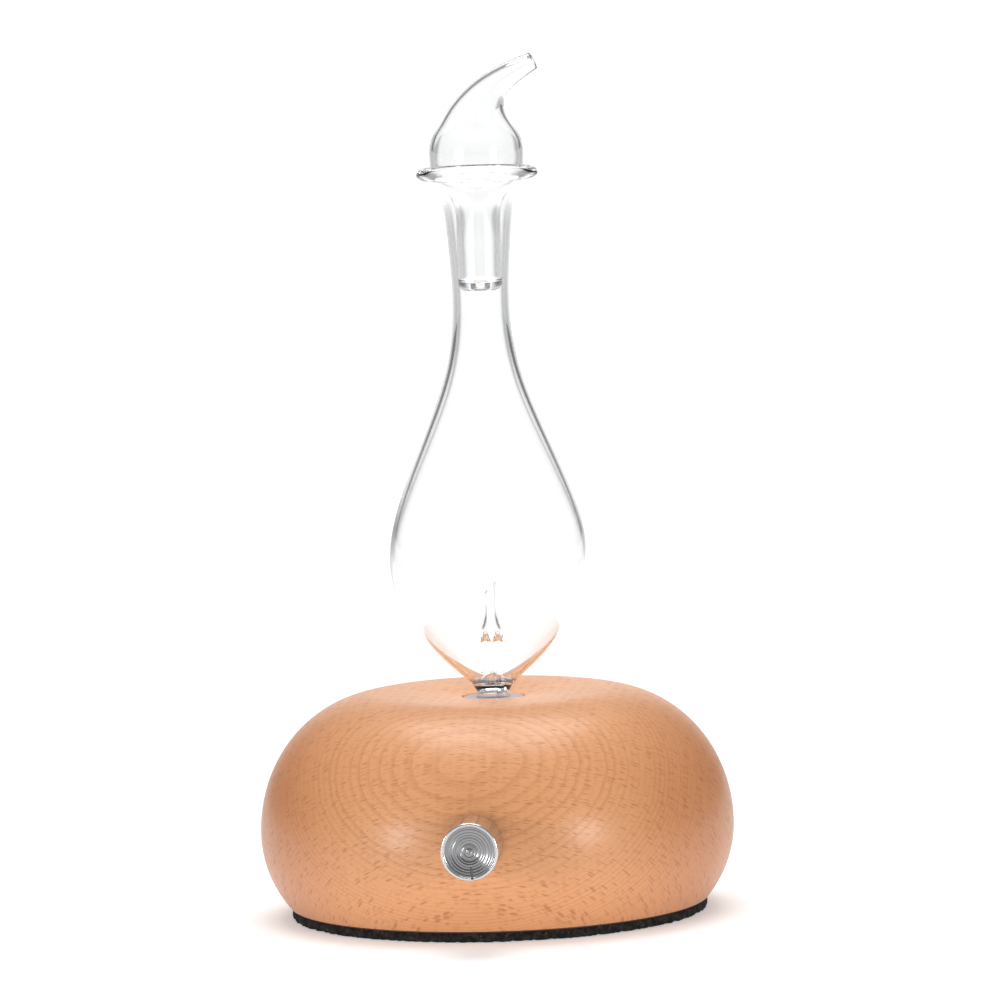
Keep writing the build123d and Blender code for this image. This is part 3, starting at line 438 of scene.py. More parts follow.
class Web:
    """The nodes of one material or of the sky."""

    def __init__(self, tree):
        self.tree = tree

    def node(self, kind, settings, values=(), out=0):
        """Adds a node, applies its settings first, then its values or links by place or by name."""
        made = self.tree.nodes.new(kind)
        for key, value in settings.items():
            setattr(made, key, value)
        pairs = values.items() if isinstance(values, dict) else enumerate(values)
        for key, value in pairs:
            if isinstance(value, Val):
                self.tree.links.new(value.socket, made.inputs[key])
            elif value is not None:
                made.inputs[key].default_value = value
        return Val(self, made.outputs[out])

    def place(self):
        """Where the shaded point is on the object, in metres."""
        coordinates = self.tree.nodes.new("ShaderNodeTexCoord")
        return Val(self, coordinates.outputs["Object"])

    def noise(self, place, scale, detail=2.0, rough=0.5, stretch=(1, 1, 1), shift=(0, 0, 0)):
        """Soft noise between about 0 and 1, finer where stretch is larger."""
        spread = self.node("ShaderNodeMapping", {}, {"Vector": place, "Location": shift, "Scale": stretch})
        return self.node(
            "ShaderNodeTexNoise", {}, {"Vector": spread, "Scale": scale, "Detail": detail, "Roughness": rough}
        )

    def vector(self, operation, *values, out=0):
        return self.node("ShaderNodeVectorMath", {"operation": operation}, values, out)

    def along(self, place, direction):
        """Distance along a direction."""
        return self.vector("DOT_PRODUCT", place, direction, out="Value")

    def join(self, x, y, z):
        return self.node("ShaderNodeCombineXYZ", {}, [x, y, z])

    def blend(self, factor, first, second, kind="MIX"):
        """Mix of two colours."""
        made = self.node("ShaderNodeMix", {"data_type": "RGBA", "blend_type": kind})
        node = made.socket.node
        for key, value in ((0, factor), (6, first), (7, second)):
            if isinstance(value, Val):
                self.tree.links.new(value.socket, node.inputs[key])
            elif key:
                node.inputs[key].default_value = (*value, 1) if len(value) == 3 else value
            else:
                node.inputs[key].default_value = value
        return Val(self, node.outputs[2])

    def bump(self, height, distance, strength=1.0):
        return self.node(
            "ShaderNodeBump", {}, {"Strength": strength, "Distance": distance, "Height": height}
        )


class Shade(Web):
    """One procedural material, with its Principled shader's constants set on its own sockets."""

    def __init__(self, name, **constants):
        self.material = bpy.data.materials.new(name)
        self.material.use_nodes = True
        super().__init__(self.material.node_tree)
        self.shader = self.tree.nodes["Principled BSDF"]
        for socket, value in constants.items():
            self.shader.inputs[socket.replace("_", " ")].default_value = value

    def wear(self, **links):
        """Links what varies over the surface to the shader."""
        for socket, value in links.items():
            self.tree.links.new(value.socket, self.shader.inputs[socket.replace("_", " ")])
        return self.material


def ray_flecks(shade, x, s, m, size, share):
    """Thin sheets of ray tissue: long along s, shorter along the grain and very thin across."""
    cells = shade.join(x / size[0], s / size[1], m / size[2])
    near = shade.node("ShaderNodeTexVoronoi", {"feature": "F1"}, {"Vector": cells, "Scale": 1.0})
    chance = shade.node("ShaderNodeTexVoronoi", {"feature": "F1"}, {"Vector": cells, "Scale": 1.0}, "Color")
    return (1 - near.ease(0.20, 0.52)) * chance.part("X").ease(share, 0.95)


def beech(looks):
    """Satin beech: flat-sawn growth rings, ray flecks and fine pores."""
    shade = Shade("beech", Coat_Weight=0.28, Coat_Roughness=0.24, Specular_IOR_Level=0.34)
    place = shade.place()
    centre = Vector((0.0, -0.040, 0.046))
    up = Vector((-0.05, -0.74, 0.67)).normalized()
    grain = Vector((1.0, 0.0, 0.0))
    grain = (grain - grain.dot(up) * up).normalized()
    across = up.cross(grain)
    local = shade.vector("SUBTRACT", place, centre)
    x = shade.along(local, grain)
    s = shade.along(local, up)
    m = shade.along(local, across)
    broad = shade.noise(place, 14.0, 2.0, 0.5, (0.35, 1, 1))
    waver = shade.noise(place, 90.0, 2.0, 0.6, (0.22, 1, 1), (3, 1, 2))
    depth = s + m * m * 2.2 + x * x * 0.5 + (broad - 0.5) * 0.0052 + (waver - 0.5) * 0.0011
    turns = depth / looks.ring_spacing
    ring = turns.maths("FRACT")
    number = turns.maths("FLOOR")
    weight = shade.node("ShaderNodeTexWhiteNoise", {"noise_dimensions": "1D"}, {"W": number})
    late = ring.ease(0.35, 0.93) * (1 - ring.ease(0.93, 1.0))
    strength = late * (weight * 0.75 + 0.25)
    wander = (shade.noise(place, 55.0, 2.0, 0.5, (0.5, 1, 1), (8, 3, 6)) - 0.5) * 0.0016
    large = ray_flecks(shade, x, s, m + wander, (0.0030, 0.0042, 0.00042), 0.40)
    small = ray_flecks(
        shade, x + 0.31, s + 0.17, m + wander + 0.23, (0.0018, 0.0028, 0.00030), 0.45
    )
    fleck = (large + small * 0.6).clamp()
    pores = shade.noise(place, 2600.0, 1.0, 0.5, (0.12, 1, 1), (5, 5, 5))
    cloud = shade.noise(place, 30.0, 3.0, 0.55, (0.5, 1, 1), (9, 2, 4))
    colour = shade.blend(strength * 0.50, tuple(looks.light), tuple(looks.dark))
    colour = shade.blend(fleck * 0.55, colour, tuple(looks.fleck))
    colour = shade.blend(pores.ease(0.55, 0.75) * 0.16, colour, tuple(looks.fleck))
    colour = shade.blend((cloud - 0.42) * 0.55, colour, tuple(looks.dark))
    # Partly end grain, partly painted shade: the colour darkens by position towards both sides along X, also
    # where no end grain shows.
    ends_and_painted_shade = (x * x / (BASE_RADIUS * MM) ** 2).ease(0.15, 0.90)
    colour = shade.blend(ends_and_painted_shade * 0.85, colour, tuple(looks.ends_and_painted_shade), "MULTIPLY")
    rough = 0.40 + fleck * 0.10 + pores * 0.06 - late * 0.03
    height = pores * 0.35 - fleck * 0.5 - late * 0.12
    return shade.wear(Base_Color=colour, Roughness=rough, Normal=shade.bump(height, 0.00006, 0.6))


def clear_glass(looks):
    """Clear blown glass with the faintest waviness."""
    shade = Shade("clear_glass", Transmission_Weight=1.0, IOR=1.47, Roughness=0.0, Specular_IOR_Level=0.35)
    place = shade.place()
    soft = shade.noise(place, 45.0, 1.0, 0.4, (1, 1, 0.6))
    tint = tuple(looks.tint)
    paler = tuple(min(1.0, c + 0.008) for c in tint)
    colour = shade.blend(soft, tint, paler)
    return shade.wear(Base_Color=colour, Normal=shade.bump(soft, 0.0004, 0.25))


def frosted():
    """Frosted acrylic of the light ring, greyish where the lamps are off."""
    shade = Shade("frosted_acrylic", Roughness=0.45, Subsurface_Weight=0.15, Subsurface_Scale=0.002)
    place = shade.place()
    grain = shade.noise(place, 900.0, 3.0)
    soft = shade.noise(place, 160.0, 2.0)
    colour = shade.blend(soft * 0.5 + grain * 0.3, (0.30, 0.265, 0.28), (0.42, 0.375, 0.40))
    return shade.wear(Base_Color=colour, Roughness=grain * 0.2 + 0.38, Normal=shade.bump(grain, 0.00003, 0.5))


def foam():
    """Black closed-cell foam with small open cells at its cut edge."""
    shade = Shade("foam_rubber", Specular_IOR_Level=0.2)
    place = shade.place()
    cells = shade.node("ShaderNodeTexVoronoi", {"feature": "F1"}, {"Vector": place, "Scale": 1900.0})
    coarse = shade.noise(place, 700.0, 3.0, 0.65)
    speck = shade.node("ShaderNodeTexVoronoi", {"feature": "F1"}, {"Vector": place, "Scale": 1500.0}, "Color")
    light = speck.part("X").ease(0.88, 0.97) * (1 - cells.ease(0.1, 0.5))
    colour = shade.blend(coarse.ease(0.35, 0.7), (0.006, 0.006, 0.006), (0.035, 0.031, 0.030))
    colour = shade.blend(light * 0.55, colour, (0.22, 0.20, 0.19))
    height = cells * 0.7 + coarse
    return shade.wear(
        Base_Color=colour, Roughness=coarse * 0.2 + 0.75, Normal=shade.bump(height, 0.0004, 0.8)
    )


def spun_metal(looks):
    """Turned aluminium: fine rings on a face darkened with painted shade, dark pointer cut, satin side,
    polished rim.
    """
    shade = Shade("spun_aluminium", Metallic=1.0)
    place = shade.place()
    axis = Vector((0.0, 0.0, KNOB_Z * MM))
    off = shade.vector("MULTIPLY", shade.vector("SUBTRACT", place, axis), (1.0, 0.0, 1.0))
    radius = shade.vector("LENGTH", off, out="Value")
    outward = shade.vector("NORMALIZE", off)
    depth = -place.part("Y")
    raised = depth.ease((KNOB_FRONT - 0.62) * MM, (KNOB_FRONT - 0.5) * MM)
    face = raised * (1 - radius.ease((KNOB_RADIUS - 1.02) * MM, (KNOB_RADIUS - 0.95) * MM))
    mark = (radius / looks.ring_pitch).maths("FLOOR")
    fine = shade.node("ShaderNodeTexWhiteNoise", {"noise_dimensions": "1D"}, {"W": mark})
    coarse = shade.noise(shade.join(radius, 0.0, 0.0), 1900.0, 2.0, 0.7)
    slope = ((fine - 0.5) * 0.85 + (coarse - 0.5) * 0.55) * face
    push = shade.node("ShaderNodeVectorMath", {"operation": "SCALE"}, {0: outward, "Scale": slope})
    world = shade.node(
        "ShaderNodeVectorTransform",
        {"vector_type": "VECTOR", "convert_from": "OBJECT", "convert_to": "WORLD"}, [push],
    )
    geometry = shade.node("ShaderNodeNewGeometry", {}, [], "Normal")
    normal = shade.vector("NORMALIZE", shade.vector("ADD", geometry, world))
    brushed = shade.noise(place, 2500.0, 2.0, 0.5, (1, 0.08, 1))
    colour = shade.blend(fine * face * 0.35 + brushed * 0.1, tuple(looks.colour), (0.50, 0.50, 0.51))
    sunk = (1 - raised) * depth.ease((KNOB_FRONT - 0.95) * MM, (KNOB_FRONT - 0.9) * MM)
    sunk = sunk * (1 - radius.ease((KNOB_RADIUS - 0.3) * MM, (KNOB_RADIUS - 0.2) * MM))
    # Painted shade: the face's metal colour is darkened to stand in for its dark reflections.
    colour = shade.blend(face * 0.72, colour, (0.16, 0.16, 0.165))
    colour = shade.blend(sunk * 0.85, colour, (0.03, 0.03, 0.03))
    rough = 0.17 + face * 0.06 + (1 - face) * brushed * 0.10
    return shade.wear(Base_Color=colour, Roughness=rough, Normal=normal)


def plain(name, colour, rough, metal=0.0, grain=1500.0, fade=0.22, depth=0.00003, stretch=(1, 1, 1), **more):
    """A simple procedural finish: a fine grain over a slow change of colour."""
    shade = Shade(name, Metallic=metal, **more)
    place = shade.place()
    fine = shade.noise(place, grain, 3.0, 0.6, stretch)
    slow = shade.noise(place, 120.0, 2.0, 0.5, (1, 1, 1), (4, 7, 1))
    darker = tuple(c * (1 - fade) for c in colour)
    lighter = tuple(min(1.0, c * (1 + fade)) for c in colour)
    mixed = shade.blend(fine * 0.5 + slow * 0.5, darker, lighter)
    return shade.wear(
        Base_Color=mixed, Roughness=(fine - 0.5) * 0.25 + rough, Normal=shade.bump(fine, depth, 0.5)
    )


def inner_finishes():
    """The finishes of the pieces inside the base, by the record's slots."""
    return {
        "foam": plain("pad_foam", (0.02, 0.018, 0.016), 0.85, grain=1200.0, depth=0.0002),
        "tape": plain("tape_film", (0.075, 0.032, 0.02), 0.6),
        "black_plastic": plain("black_moulding", (0.03, 0.03, 0.032), 0.5),
        "light_guide": plain("light_guide", (0.62, 0.58, 0.6), 0.45),
        "circuit_board": plain("solder_mask", (0.04, 0.2, 0.09), 0.35, grain=600.0),
        "lamp": plain("lamp_resin", (0.9, 0.88, 0.7), 0.3),
        "nylon": plain("natural_nylon", (0.82, 0.81, 0.77), 0.45),
        "silicone": plain("silicone", (0.75, 0.74, 0.72), 0.4, Transmission_Weight=0.3),
        "rubber": plain("moulded_rubber", (0.04, 0.04, 0.04), 0.7),
        "steel": plain("zinc_plate", (0.6, 0.6, 0.6), 0.3, 1.0, stretch=(1, 0.2, 1)),
        "core_iron": plain("sheet_stack", (0.25, 0.25, 0.26), 0.45, 1.0, stretch=(0.1, 0.1, 2.2)),
        "magnet": plain("nickel_plate", (0.55, 0.55, 0.56), 0.2, 1.0),
        "copper": plain("enamelled_wire", (0.72, 0.35, 0.18), 0.3, 1.0, stretch=(0.1, 0.1, 3.0)),
        "brass": plain("brass", (0.8, 0.65, 0.35), 0.25, 1.0),
        "phenolic": plain("phenolic_sheet", (0.35, 0.2, 0.1), 0.5),
        "arm_plastic": plain("pale_moulding", (0.7, 0.7, 0.68), 0.45),
        "shaft": plain("turned_shaft", (0.7, 0.7, 0.71), 0.3, 1.0, stretch=(1, 6.0, 1)),
        "component": plain("black_component", (0.05, 0.05, 0.06), 0.35),
        "capacitor": plain("sleeved_can", (0.55, 0.56, 0.6), 0.3, 0.6),
        "wire": plain("wire_sleeve", (0.35, 0.05, 0.04), 0.4),
    }


# ---- Operators, one for each piece ----
class Maker(bpy.types.Operator):
    """Base of the operators that make one piece each"""

    bl_options = {"REGISTER", "UNDO"}

    def execute(self, context):
        self.make(context.scene)
        return {"FINISHED"}


class DIFFUSER_OT_wood_base(Maker):
    """Turns the beech base, hollow below, with its pockets and holes"""

    bl_idname = "diffuser.wood_base"
    bl_label = "Beech base"

    def make(self, scene):
        looks = scene.diffuser_wood
        bulge = WOOD_Z + 20.5
        foot = BASE_RADIUS - 7.5
        crest = 31.0
        throat = 8.5
        cavity = foot - 13.5
        ledge = cavity + 8.2
        floor = WOOD_Z + 2.5
        outline = Outline(BASE_RADIUS, bulge)
        outline.arc((foot + 0.12, WOOD_Z + 0.35), (0, -1))
        outline.bow((foot - 0.35, WOOD_Z), (foot + 0.05, WOOD_Z + 0.15), (foot - 0.15, WOOD_Z))
        outline.line((ledge, WOOD_Z), (ledge, floor), (cavity, floor), (cavity, CEILING_Z))
        outline.line((throat, CEILING_Z), (throat, CREST_Z - 2.0))
        outline.quarter((throat + 0.6, CREST_Z - 1.33))
        outline.bow((crest, CREST_Z), (throat + 7.85, CREST_Z - 0.46), (crest - 7.3, CREST_Z))
        outline.bow(
            (BASE_RADIUS, bulge),
            (crest + ROUND_HANDLE * (BASE_RADIUS - crest), CREST_Z),
            (BASE_RADIUS, bulge + ROUND_HANDLE * (CREST_Z - bulge)),
        )
        wood = turned("beech_base", outline, looks.steps, 26)
        beyond = BASE_RADIUS + 2
        half, face = 9.2, BASE_RADIUS - 5.2
        bushing_hole, washer_seat = 3.7, 6.7
        cut(wood, plug_block((-half, -face, KNOB_Z - 9.7), (half, -cavity + 4, KNOB_Z + half)))
        cut(wood, plug_block((-half, -(face - 8.0), floor), (half, -cavity + 4, KNOB_Z - 9.6)))
        cut(wood, plug_across(bushing_hole, -beyond, -face + 1, 0, KNOB_Z))
        cut(wood, plug_across(washer_seat, -beyond, -BASE_RADIUS + 1.0, 0, KNOB_Z))
        half, face = 8.5, BASE_RADIUS - 2.4
        jack_hole, nut_seat = 5.6, 7.1
        cut(wood, plug_block((-half, cavity - 4, JACK_Z - half), (half, face - 5.2, JACK_Z + half)))
        cut(wood, plug_across(jack_hole, face - 6, beyond, 0, JACK_Z))
        cut(wood, plug_across(nut_seat, face, beyond, 0, JACK_Z))
        hand_over(wood, "base", "beech", ["wood_base"], beech(looks))


class DIFFUSER_OT_foot_pad(Maker):
    """Cuts the foam pad under the base, with a slightly ragged edge"""

    bl_idname = "diffuser.foot_pad"
    bl_label = "Foam pad"

    def make(self, scene):
        edge = PAD_RADIUS - 0.12
        outline = Outline(0, PAD_Z)
        outline.line((edge - 6, PAD_Z), (edge - 0.9, PAD_Z))
        outline.line((edge - 0.25, PAD_Z + 0.22), (edge, PAD_Z + 0.8), (edge, PAD_TOP - 0.8))
        outline.line((edge - 0.15, PAD_TOP - 0.15), (edge - 0.6, PAD_TOP), (0, PAD_TOP))
        pad = turned("foam_foot", outline, 380, 4)
        bpy.ops.object.mode_set(mode="EDIT")
        bpy.ops.mesh.select_all(action="DESELECT")
        mesh = bmesh.from_edit_mesh(pad.data)
        for vertex in mesh.verts:
            rim = math.hypot(vertex.co.x, vertex.co.y) > (edge - 0.95) * MM
            vertex.select = rim and vertex.co.z < (PAD_TOP - 0.5) * MM
        mesh.select_flush_mode()
        bmesh.update_edit_mesh(pad.data)
        bpy.ops.transform.vertex_random(offset=0.26 * MM, uniform=1.0, normal=0.0, seed=7)
        bpy.ops.transform.vertex_random(offset=0.10 * MM, uniform=1.0, normal=0.0, seed=12)
        mesh = bmesh.from_edit_mesh(pad.data)
        for vertex in mesh.verts:
            vertex.co.z = max(vertex.co.z, PAD_Z * MM)
            reach = math.hypot(vertex.co.x, vertex.co.y)
            if reach > PAD_RADIUS * MM:
                vertex.co.x *= PAD_RADIUS * MM / reach
                vertex.co.y *= PAD_RADIUS * MM / reach
        bmesh.update_edit_mesh(pad.data)
        bpy.ops.object.mode_set(mode="OBJECT")
        for step in range(6):
            angle = FULL_TURN * step / 6
            x = 9.0 * math.cos(angle)
            y = -19.0 + 9.0 * math.sin(angle)
            cut(pad, plug_round(2.0, PAD_Z - 1, PAD_TOP + 1, x, y, 32))
        hand_over(pad, "base", "foam", ["foot_pad"], foam(), 50)


class DIFFUSER_OT_light_ring(Maker):
    """Turns the frosted light guide whose end shows round the glass stem"""

    bl_idname = "diffuser.light_ring"
    bl_label = "Light ring"

    def make(self, scene):
        outline = Outline(4.8, RING_Z - 0.25)
        outline.line((5.05, RING_Z), (8.1, RING_Z), (8.35, RING_Z - 0.25), (8.35, CEILING_Z))
        outline.line((15.0, CEILING_Z), (15.0, CEILING_Z - 3.0), (13.8, CEILING_Z - 3.0))
        outline.line((13.8, CEILING_Z - 1.6), (6.35, CEILING_Z - 1.6), (6.35, RING_Z - 8.4))
        outline.line((4.8, RING_Z - 8.4), (4.8, RING_Z - 0.25))
        ring = turned("frosted_ring", outline, 128, 4)
        hand_over(ring, "base", "light_guide", ["light_ring"], frosted(), 30)


def bottle_knots():
    """Outside of the bottle over the light ring, as (radius, height)."""
    neck = 7.7
    knots = [
        (6.4, 4.4), (13.6, 10.8), (BELLY_RADIUS - 4.9, 20.7), (BELLY_RADIUS, 38.8),
        (BELLY_RADIUS - 4.2, 57.1), (neck + 7.1, 76.9), (neck + 1.7, 93.1), (neck, 109.6),
        (neck + 0.9, 126.6), (neck + 3.0, 137.6), (LIP_RADIUS - 2.2, 142.2),
    ]
    return [Vector((r, z + RING_Z)) for r, z in knots]


class DIFFUSER_OT_glass_bottle(Maker):
    """Blows the bottle: stem, drop-shaped belly, long neck and rolled lip"""

    bl_idname = "diffuser.glass_bottle"
    bl_label = "Glass bottle"

    def make(self, scene):
        looks = scene.diffuser_glass
        wall = looks.wall / MM
        outer = bottle_knots()
        slopes = easy_slopes(outer, BELLY_START, LIP_START)[0]
        inner = [p + Vector((-t.y, t.x)).normalized() * wall for p, t in zip(outer, slopes)]
        stem = 4.3
        waist = RING_Z + 1.9
        bead = 1.55
        bead_r = LIP_RADIUS - bead
        bead_z = LIP_Z - bead - 0.1
        outline = Outline(0, STEM_Z)
        outline.line((stem - 0.4, STEM_Z), (stem, STEM_Z + 0.6), (stem, waist - 0.9))
        outline.smooth([(stem + 0.5, waist + 0.3), outer[0]], (0, 1), BELLY_START)
        outline.smooth(outer[1:], BELLY_START, LIP_START)
        outline.line((bead_r, bead_z - bead))
        outline.quarter((bead_r + bead, bead_z), False)
        outline.quarter((bead_r, bead_z + bead))
        outline.smooth([inner[-1]], (-1, -0.15), -slopes[-1])
        outline.smooth(inner[-2::-1], -slopes[-1], -slopes[0])
        outline.smooth([(0, BOTTLE_FLOOR_Z)], -slopes[0], (-1, 0))
        bottle = turned("bottle_glass", outline, looks.steps, 10)
        cut(bottle, plug_round(1.0, STEM_Z - 1, BOTTLE_FLOOR_Z + 1, JET_SPACING, 0, 32))
        hand_over(bottle, "bottle", "glass", ["glass_bottle"], shared_glass(scene), 40)


class DIFFUSER_OT_jet(Maker):
    """Draws the two jet tubes and the hollow spike over them"""

    bl_idname = "diffuser.jet"
    bl_label = "Glass jet"

    def make(self, scene):
        pair = []
        for side in (1, -1):
            foot = BOTTLE_FLOOR_Z + 0.12
            shoulder = foot + 7.5
            outline = Outline(0.55, foot)
            outline.line((1.6, foot), (1.6, shoulder))
            outline.smooth([(1.25, shoulder + 1.3), (0.6, JET_TOP)], (0, 1), (-0.2, 1))
            outline.line((0.3, JET_TOP))
            outline.smooth([(0.5, shoulder + 0.4)], (0.1, -1), (0, -1))
            outline.line((0.55, foot))
            tube = turned("jet_tube", outline, 48, 8)
            tube.location.x = side * JET_SPACING * MM
            pick(tube)
            bpy.ops.object.transform_apply(location=True, rotation=True, scale=True)
            pair.append(tube)
        cut(pair[1], plug_block(
            (-3.6, -0.4, BOTTLE_FLOOR_Z + 1.6), (-JET_SPACING, 0.4, BOTTLE_FLOOR_Z + 2.8)))
        deselect()
        for tube in pair:
            tube.select_set(True)
        bpy.context.view_layer.objects.active = pair[0]
        bpy.ops.object.join()
        tubes = pair[0]
        tubes.name = "jet_tube_glass"
        hand_over(tubes, "bottle", "glass", ["jet_tubes"], shared_glass(scene), 40)

        z0, z1 = NOZZLE_Z, NOZZLE_TOP
        wall = 0.55
        outline = Outline(2.55, z0)
        outline.line((3.25, z0))
        outline.smooth(
            [(2.9, z0 + 1.9), (2.15, z0 + 4.4), (1.75, z0 + 11.0), (1.6, z1)], (0, 1), (0, 1)
        )
        outline.line((1.6 - wall, z1))
        outline.smooth(
            [(1.7 - wall, z0 + 11.0), (2.1 - wall, z0 + 4.4), (2.85 - wall, z0 + 1.9), (2.55, z0)],
            (0, -1), (0.1, -1),
        )
        spike = turned("jet_spike_glass", outline, 64, 8)
        lean = math.atan2(3.3, 3.2)
        deselect()
        bpy.ops.mesh.primitive_cube_add(size=0.03, rotation=(0, -lean, 0))
        blade = bpy.context.object
        blade.location = Vector((1.6, 0, z1)) * MM + Vector((-math.sin(lean), 0, math.cos(lean))) * 0.015
        cut(spike, blade)
        hand_over(spike, "bottle", "glass", ["jet_nozzle"], shared_glass(scene), 40)


def cap_stations():
    """Round sections of the spout over the lip: x, height, radius, lean in degrees."""
    return [
        (0.0, 0.5, 12.7, 0), (0.0, 4.6, 12.8, 0), (0.1, 8.2, 12.0, 1), (0.2, 11.4, 10.1, 2),
        (0.6, 15.1, 7.9, 6), (2.1, 18.4, 6.1, 15), (4.4, 21.3, 4.6, 31), (7.4, 23.7, 3.7, 49),
        (10.9, 25.9, 3.1, 58), (16.1, 28.5, 2.4, 64),
    ]


def eased(stations, enter, leave, between):
    """More stations between the given ones, on the smoothest curve through them."""
    path = [Vector(s) for s in stations]
    steps = [math.dist(a[:2], b[:2]) for a, b in zip(stations, stations[1:])]
    slopes, steps = easy_slopes(path, enter, leave, steps)
    made = [tuple(path[0])]
    for i in range(len(path) - 1):
        for k in range(1, between + 1):
            t = k / between
            h = steps[i]
            a = path[i] * (2 * t**3 - 3 * t**2 + 1) + slopes[i] * h * (t**3 - 2 * t**2 + t)
            b = path[i + 1] * (3 * t**2 - 2 * t**3) + slopes[i + 1] * h * (t**3 - t**2)
            made.append(tuple(a + b))
    return made


class DIFFUSER_OT_glass_cap(Maker):
    """Blows the cap: hollow stem, funnel, round body and bent spout"""

    bl_idname = "diffuser.glass_cap"
    bl_label = "Spout cap"

    def make(self, scene):
        stations = eased(cap_stations(), (0, 1, 0.03, 0), (5.2, 2.6, -0.7, 4.0), 7)
        lip = LIP_Z + 0.1
        stem = 6.0
        outer = [((0, CAP_FOOT_Z), DRAIN_RADIUS, 0), ((0, CAP_FOOT_Z), stem - 2.4, 0)]
        for step in range(0, 9):
            angle = math.pi / 2 * step / 8
            outer.append(
                ((0, CAP_FOOT_Z + 2.0 - 2.0 * math.cos(angle)), stem - 2.0 + 2.0 * math.sin(angle), 0)
            )
        outer.append(((0, lip - 20.0), stem, 0))
        funnel = eased(
            [(stem, lip - 15.0), (6.9, lip - 9.0), (9.6, lip - 5.2), (11.7, lip - 2.2), (12.7, lip + 0.5)],
            (0, 1), (0.05, 1), 7,
        )
        outer += [((0, z), r, 0) for r, z in funnel]
        outer += [((x, lip + up), r, lean) for x, up, r, lean in stations[1:]]
        tip = outer[-1]
        rim_x, rim_z = tip[0]
        way = Vector((math.sin(math.radians(tip[2])), math.cos(math.radians(tip[2]))))
        inner = []
        for x, up, r, lean in reversed(stations):
            inner.append(((x, lip + up), max(r - CAP_WALL, 0.9), lean))
        inner += [((0, z), r - CAP_WALL, 0) for r, z in reversed(funnel[:-1])]
        floor = CAP_FOOT_Z + 2.2
        for step in range(8, -1, -1):
            angle = math.pi / 2 * step / 8
            inner.append(((0, floor + 1.2 - 1.2 * math.cos(angle)), stem - 2.2 + 1.2 * math.sin(angle), 0))
        inner.append(((0, floor), DRAIN_RADIUS, 0))
        inner.append(((0, CAP_FOOT_Z), DRAIN_RADIUS, 0))
        mid = tip[1] - 0.5
        lipped = []
        for step in range(1, 6):
            angle = math.pi * step / 6
            place = Vector((rim_x, rim_z)) + way * 0.35 * math.sin(angle)
            lipped.append((tuple(place), mid + 0.5 * math.cos(angle), tip[2]))
        cap = ring_shell("cap_glass", outer + lipped + inner, 128)
        hand_over(cap, "cap", "glass", ["glass_cap"], shared_glass(scene), 40)


def shared_glass(scene):
    """One clear glass for all blown pieces."""
    known = bpy.data.materials.get("clear_glass")
    return known or clear_glass(scene.diffuser_glass)


class DIFFUSER_OT_knob(Maker):
    """Turns the knob, then cuts its grip flutes and pointer line"""

    bl_idname = "diffuser.knob"
    bl_label = "Knob"

    def make(self, scene):
        r = KNOB_RADIUS
        front = KNOB_FRONT - KNOB_BACK
        outline = Outline(0, front - FACE_DISH)
        outline.line((r - 1.1, front - FACE_DISH))
        outline.bow((r - 0.72, front - 0.06), (r - 0.95, front - FACE_DISH), (r - 0.82, front - 0.2))
        outline.bow((r - 0.4, front), (r - 0.68, front), (r - 0.5, front))
        outline.bow((r, front - 0.45), (r - 0.15, front), (r, front - 0.2))
        outline.line((r, 0.3))
        outline.bow((r - 0.3, 0), (r, 0.13), (r - 0.13, 0))
        outline.line((6.2, 0), (6.2, front - 2.0), (0, front - 2.0))
        knob = turned("knob_turned", outline, 192, 6)
        for step in range(12):
            angle = math.radians(15 + 30 * step)
            cut(knob, plug_round(0.45, -1, front - 1.2, r * math.cos(angle), r * math.sin(angle), 24))
        start, end, half, pointer = 3.9, r - 0.35, 0.35, math.radians(-85)
        groove = plug_block((start, -half, front - FACE_DISH - half), (end, half, front + 1))
        groove.rotation_euler.z = pointer
        middle = (start + end) / 2
        groove.location.x = middle * math.cos(pointer) * MM
        groove.location.y = middle * math.sin(pointer) * MM
        cut(knob, groove)
        knob.rotation_euler.x = math.pi / 2
        knob.location = (0, -KNOB_BACK * MM, KNOB_Z * MM)
        hand_over(knob, "knob", "knob_metal", ["knob_shell"], spun_metal(scene.diffuser_metal), 32)


class DIFFUSER_OT_inner_parts(Maker):
    """Gives every piece kept from the frame its own finish"""

    bl_idname = "diffuser.inner_parts"
    bl_label = "Inner parts"

    def make(self, scene):
        finishes = inner_finishes()
        finishes["beech"] = bpy.data.materials["beech"]
        finishes["glass"] = bpy.data.materials["clear_glass"]
        finishes["knob_metal"] = bpy.data.materials["spun_aluminium"]
        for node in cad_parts.values():
            for number, old in enumerate(list(node.data.materials)):
                key = old.name.split(".")[0]
                if key in finishes:
                    node.data.materials[number] = finishes[key]


